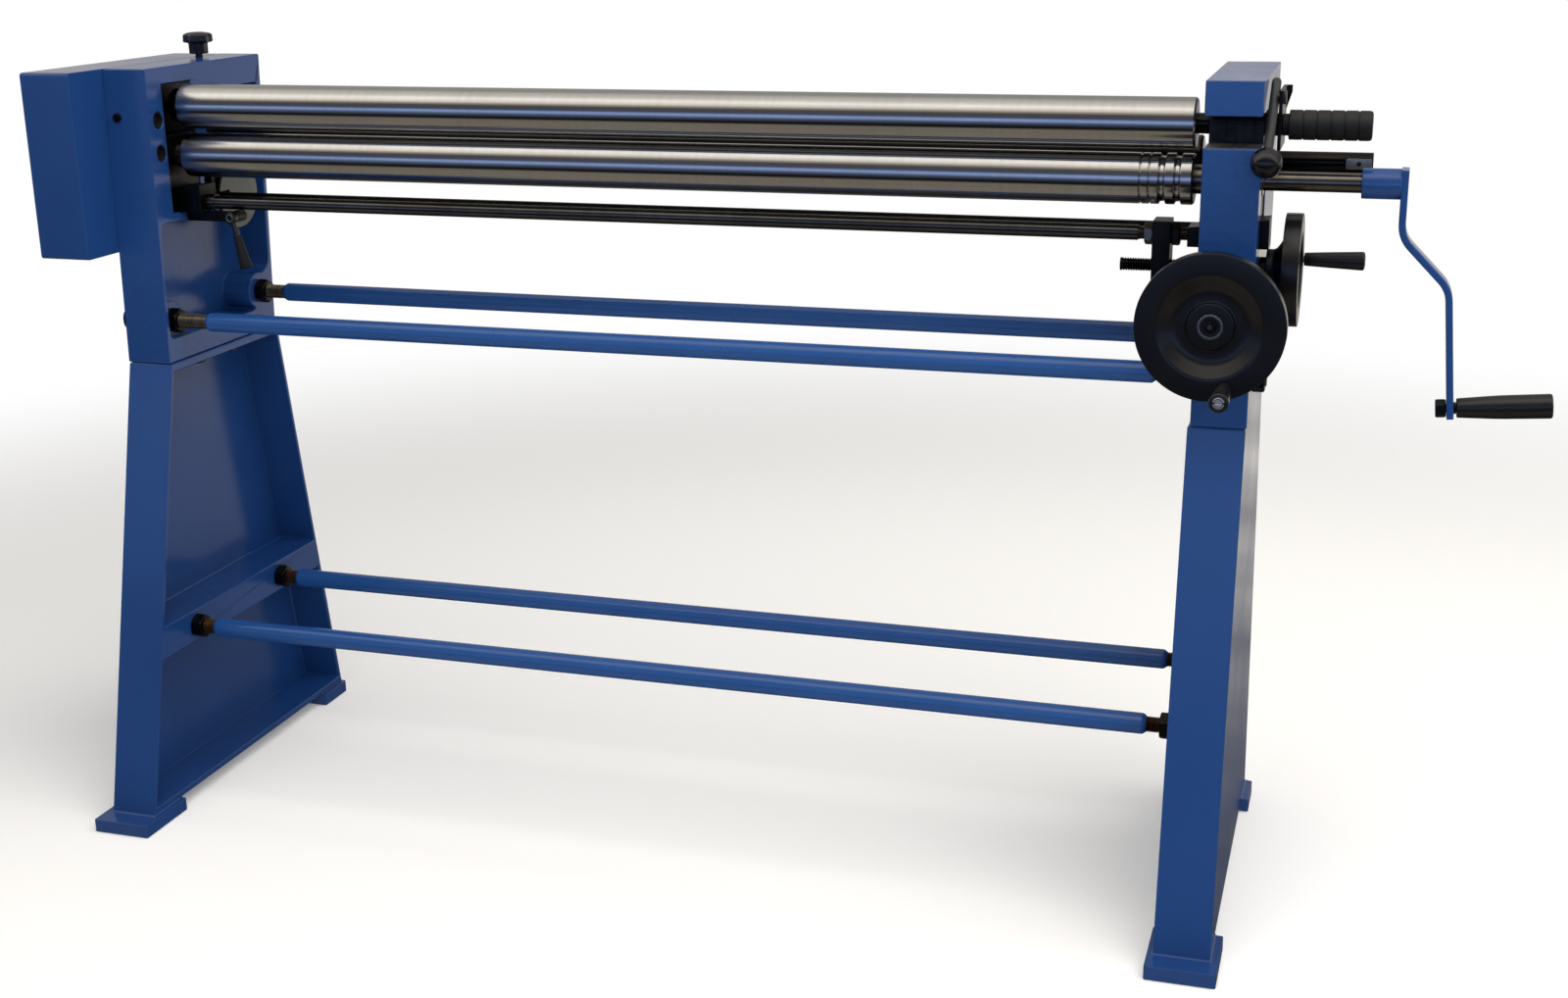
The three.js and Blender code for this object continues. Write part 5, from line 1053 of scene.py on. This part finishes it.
floor_mesh = bpy.data.meshes.new("studio_floor")
floor_mesh.from_pydata([
    (x * FLOOR_HALF, y * FLOOR_HALF, -FLOOR_DROP) for x, y in ((-1, -1), (1, -1), (1, 1), (-1, 1))],
    [], [(0, 1, 2, 3)])
floor_mesh.materials.append(floor_material)
studio_floor = bpy.data.objects.new("studio_floor", floor_mesh)
bpy.context.scene.collection.objects.link(studio_floor)
studio_floor.visible_glossy = False

# %% [markdown]
# ## The tent that the steel mirrors
# The tent is a tunnel along the rolls. Its colour depends on the elevation seen from the rolls,
# from 0 degrees level towards the operator, through 90 overhead, to 180 level behind; negative
# angles look down. The angle is arctan2(height, distance to the front), worked out by nodes.

# %% Tent
TENT_RADIUS, TENT_HALF, TENT_AXIS = 4.4, 8.0, (-0.015, 0.94)
TENT_LEVEL = 2.0
LINES_ROUND, LINES_ALONG = 30.0, 0.05
# Every band is a painted reflection. The dark stops from -138 to -92 degrees are painted shade, where
# the lower roll keeps light from the upper roll's underside.
TENT_BANDS = (
    (-180, "#A5A19B"), (-165, "#BFB9AF"), (-148, "#5A5752"), (-138, "#35342F"),
    (-92, "#2B2A28"), (-80, "#716C63"), (-36, "#6C675F"), (-29, "#0E0E0F"),
    (-21, "#17181B"), (-8, "#424B60"), (6, "#8AA2D4"), (17, "#40485C"),
    (34, "#4A4745"), (43, "#918A82"), (53, "#D6D1C9"), (67, "#FFFCF6"), (84, "#D4D0CA"),
    (104, "#B4B1AC"), (124, "#8F8D8A"), (160, "#7E7D7B"), (180, "#A5A19B"))

tent_material, tent_tree, tent_shader, tent_place = begin("studio_tent")
tent_tree.nodes.remove(tent_shader)
apart = add(tent_tree, "ShaderNodeSeparateXYZ", {0: tent_place})
height = add(tent_tree, "ShaderNodeMath", {0: apart.outputs["Z"], 1: TENT_AXIS[1]},
             operation="SUBTRACT")
ahead = add(tent_tree, "ShaderNodeMath", {0: TENT_AXIS[0], 1: apart.outputs["Y"]},
            operation="SUBTRACT")
elevation = add(tent_tree, "ShaderNodeMath", {
    0: height.outputs["Value"], 1: ahead.outputs["Value"]}, operation="ARCTAN2")
share = add(tent_tree, "ShaderNodeMapRange", {
    "Value": elevation.outputs["Value"], "From Min": -math.pi, "From Max": math.pi})
bands = add(tent_tree, "ShaderNodeValToRGB", {"Fac": share.outputs["Result"]})
stops = bands.color_ramp.elements
stops.remove(stops[-1])
for degrees, colour_code in TENT_BANDS:
    place_on_ramp = (degrees + 180) / 360
    stop = stops[0] if degrees == -180 else stops.new(place_on_ramp)
    stop.position, stop.color = place_on_ramp, linear(colour_code)
along_tent = add(tent_tree, "ShaderNodeMath", {0: apart.outputs["X"], 1: LINES_ALONG},
                 operation="MULTIPLY")
round_tent = add(tent_tree, "ShaderNodeMath", {0: elevation.outputs["Value"], 1: LINES_ROUND},
                 operation="MULTIPLY")
line_place = add(tent_tree, "ShaderNodeCombineXYZ", {
    "X": along_tent.outputs["Value"], "Y": round_tent.outputs["Value"]})
lines = add(tent_tree, "ShaderNodeTexNoise", {
    "Vector": line_place.outputs["Vector"], "Scale": 1.0, "Detail": 2.0})
line_level = add(tent_tree, "ShaderNodeMapRange", {
    "Value": lines.outputs["Fac"], "From Min": 0.36, "From Max": 0.64,
    "To Min": TENT_LEVEL * 0.62, "To Max": TENT_LEVEL * 1.2})
tent_glow = add(tent_tree, "ShaderNodeEmission", {
    "Color": bands.outputs["Color"], "Strength": line_level.outputs["Result"]})
tent_tree.links.new(tent_glow.outputs["Emission"],
                    tent_tree.nodes["Material Output"].inputs["Surface"])

tent_angle = np.linspace(0, 2 * np.pi, 96, endpoint=False)
tent_ring = np.column_stack([
    TENT_AXIS[0] - TENT_RADIUS * np.cos(tent_angle), TENT_AXIS[1] + TENT_RADIUS * np.sin(tent_angle)])
tent_points = np.concatenate([
    np.column_stack([np.full(len(tent_ring), end), tent_ring]) for end in (-TENT_HALF, TENT_HALF)])
tent_mesh = bpy.data.meshes.new("studio_tent")
tent_mesh.from_pydata(tent_points.tolist(), [], quads(2, len(tent_ring)) + [
    list(range(len(tent_ring))), list(range(len(tent_ring), 2 * len(tent_ring)))])
tent_mesh.materials.append(tent_material)
tent = bpy.data.objects.new("studio_tent", tent_mesh)
bpy.context.scene.collection.objects.link(tent)
tent.visible_camera = tent.visible_diffuse = tent.visible_shadow = False
tent.visible_transmission = False

# %% Lamps


def soft_lamp(name, size, energy, place, aim, colour):
    """An area lamp that lights surfaces and is not mirrored: energy in watts, sizes in metres,
    turned so that it looks from its place to its aim."""
    lamp = bpy.data.lights.new(name, "AREA")
    lamp.shape = "RECTANGLE"
    lamp.size, lamp.size_y = size
    lamp.energy = energy
    lamp.color = linear(colour)[:3]
    holder = bpy.data.objects.new(name, lamp)
    holder.location = place
    holder.rotation_euler = (Vector(aim) - Vector(place)).to_track_quat("-Z", "Y").to_euler()
    holder.visible_camera = False
    holder.visible_glossy = False
    bpy.context.scene.collection.objects.link(holder)


soft_lamp("ceiling_lamp", (5.0, 3.0), 140.0, (0.9, -0.6, 3.3), (0.4, -0.1, 0.4), "#FFFBF5")
soft_lamp("front_lamp", (3.6, 2.2), 64.0, (2.7, -3.2, 2.1), (0.2, 0.0, 0.5), "#FBF8F4")

# %% World
world = bpy.data.worlds.new("studio_world")
bpy.context.scene.world = world
world.use_nodes = True
world_tree = world.node_tree
world_tree.nodes.clear()
ambient = add(world_tree, "ShaderNodeBackground", {"Color": linear("#F2F4F8"), "Strength": 0.24})
white = add(world_tree, "ShaderNodeBackground", {"Color": linear("#FFFFFF"), "Strength": 1.0})
choice = add(world_tree, "ShaderNodeMixShader", {
    "Fac": seen_directly(world_tree), 1: ambient.outputs["Background"],
    2: white.outputs["Background"]})
add(world_tree, "ShaderNodeOutputWorld", {"Surface": choice.outputs["Shader"]})
bpy.context.scene.view_settings.view_transform = "Standard"
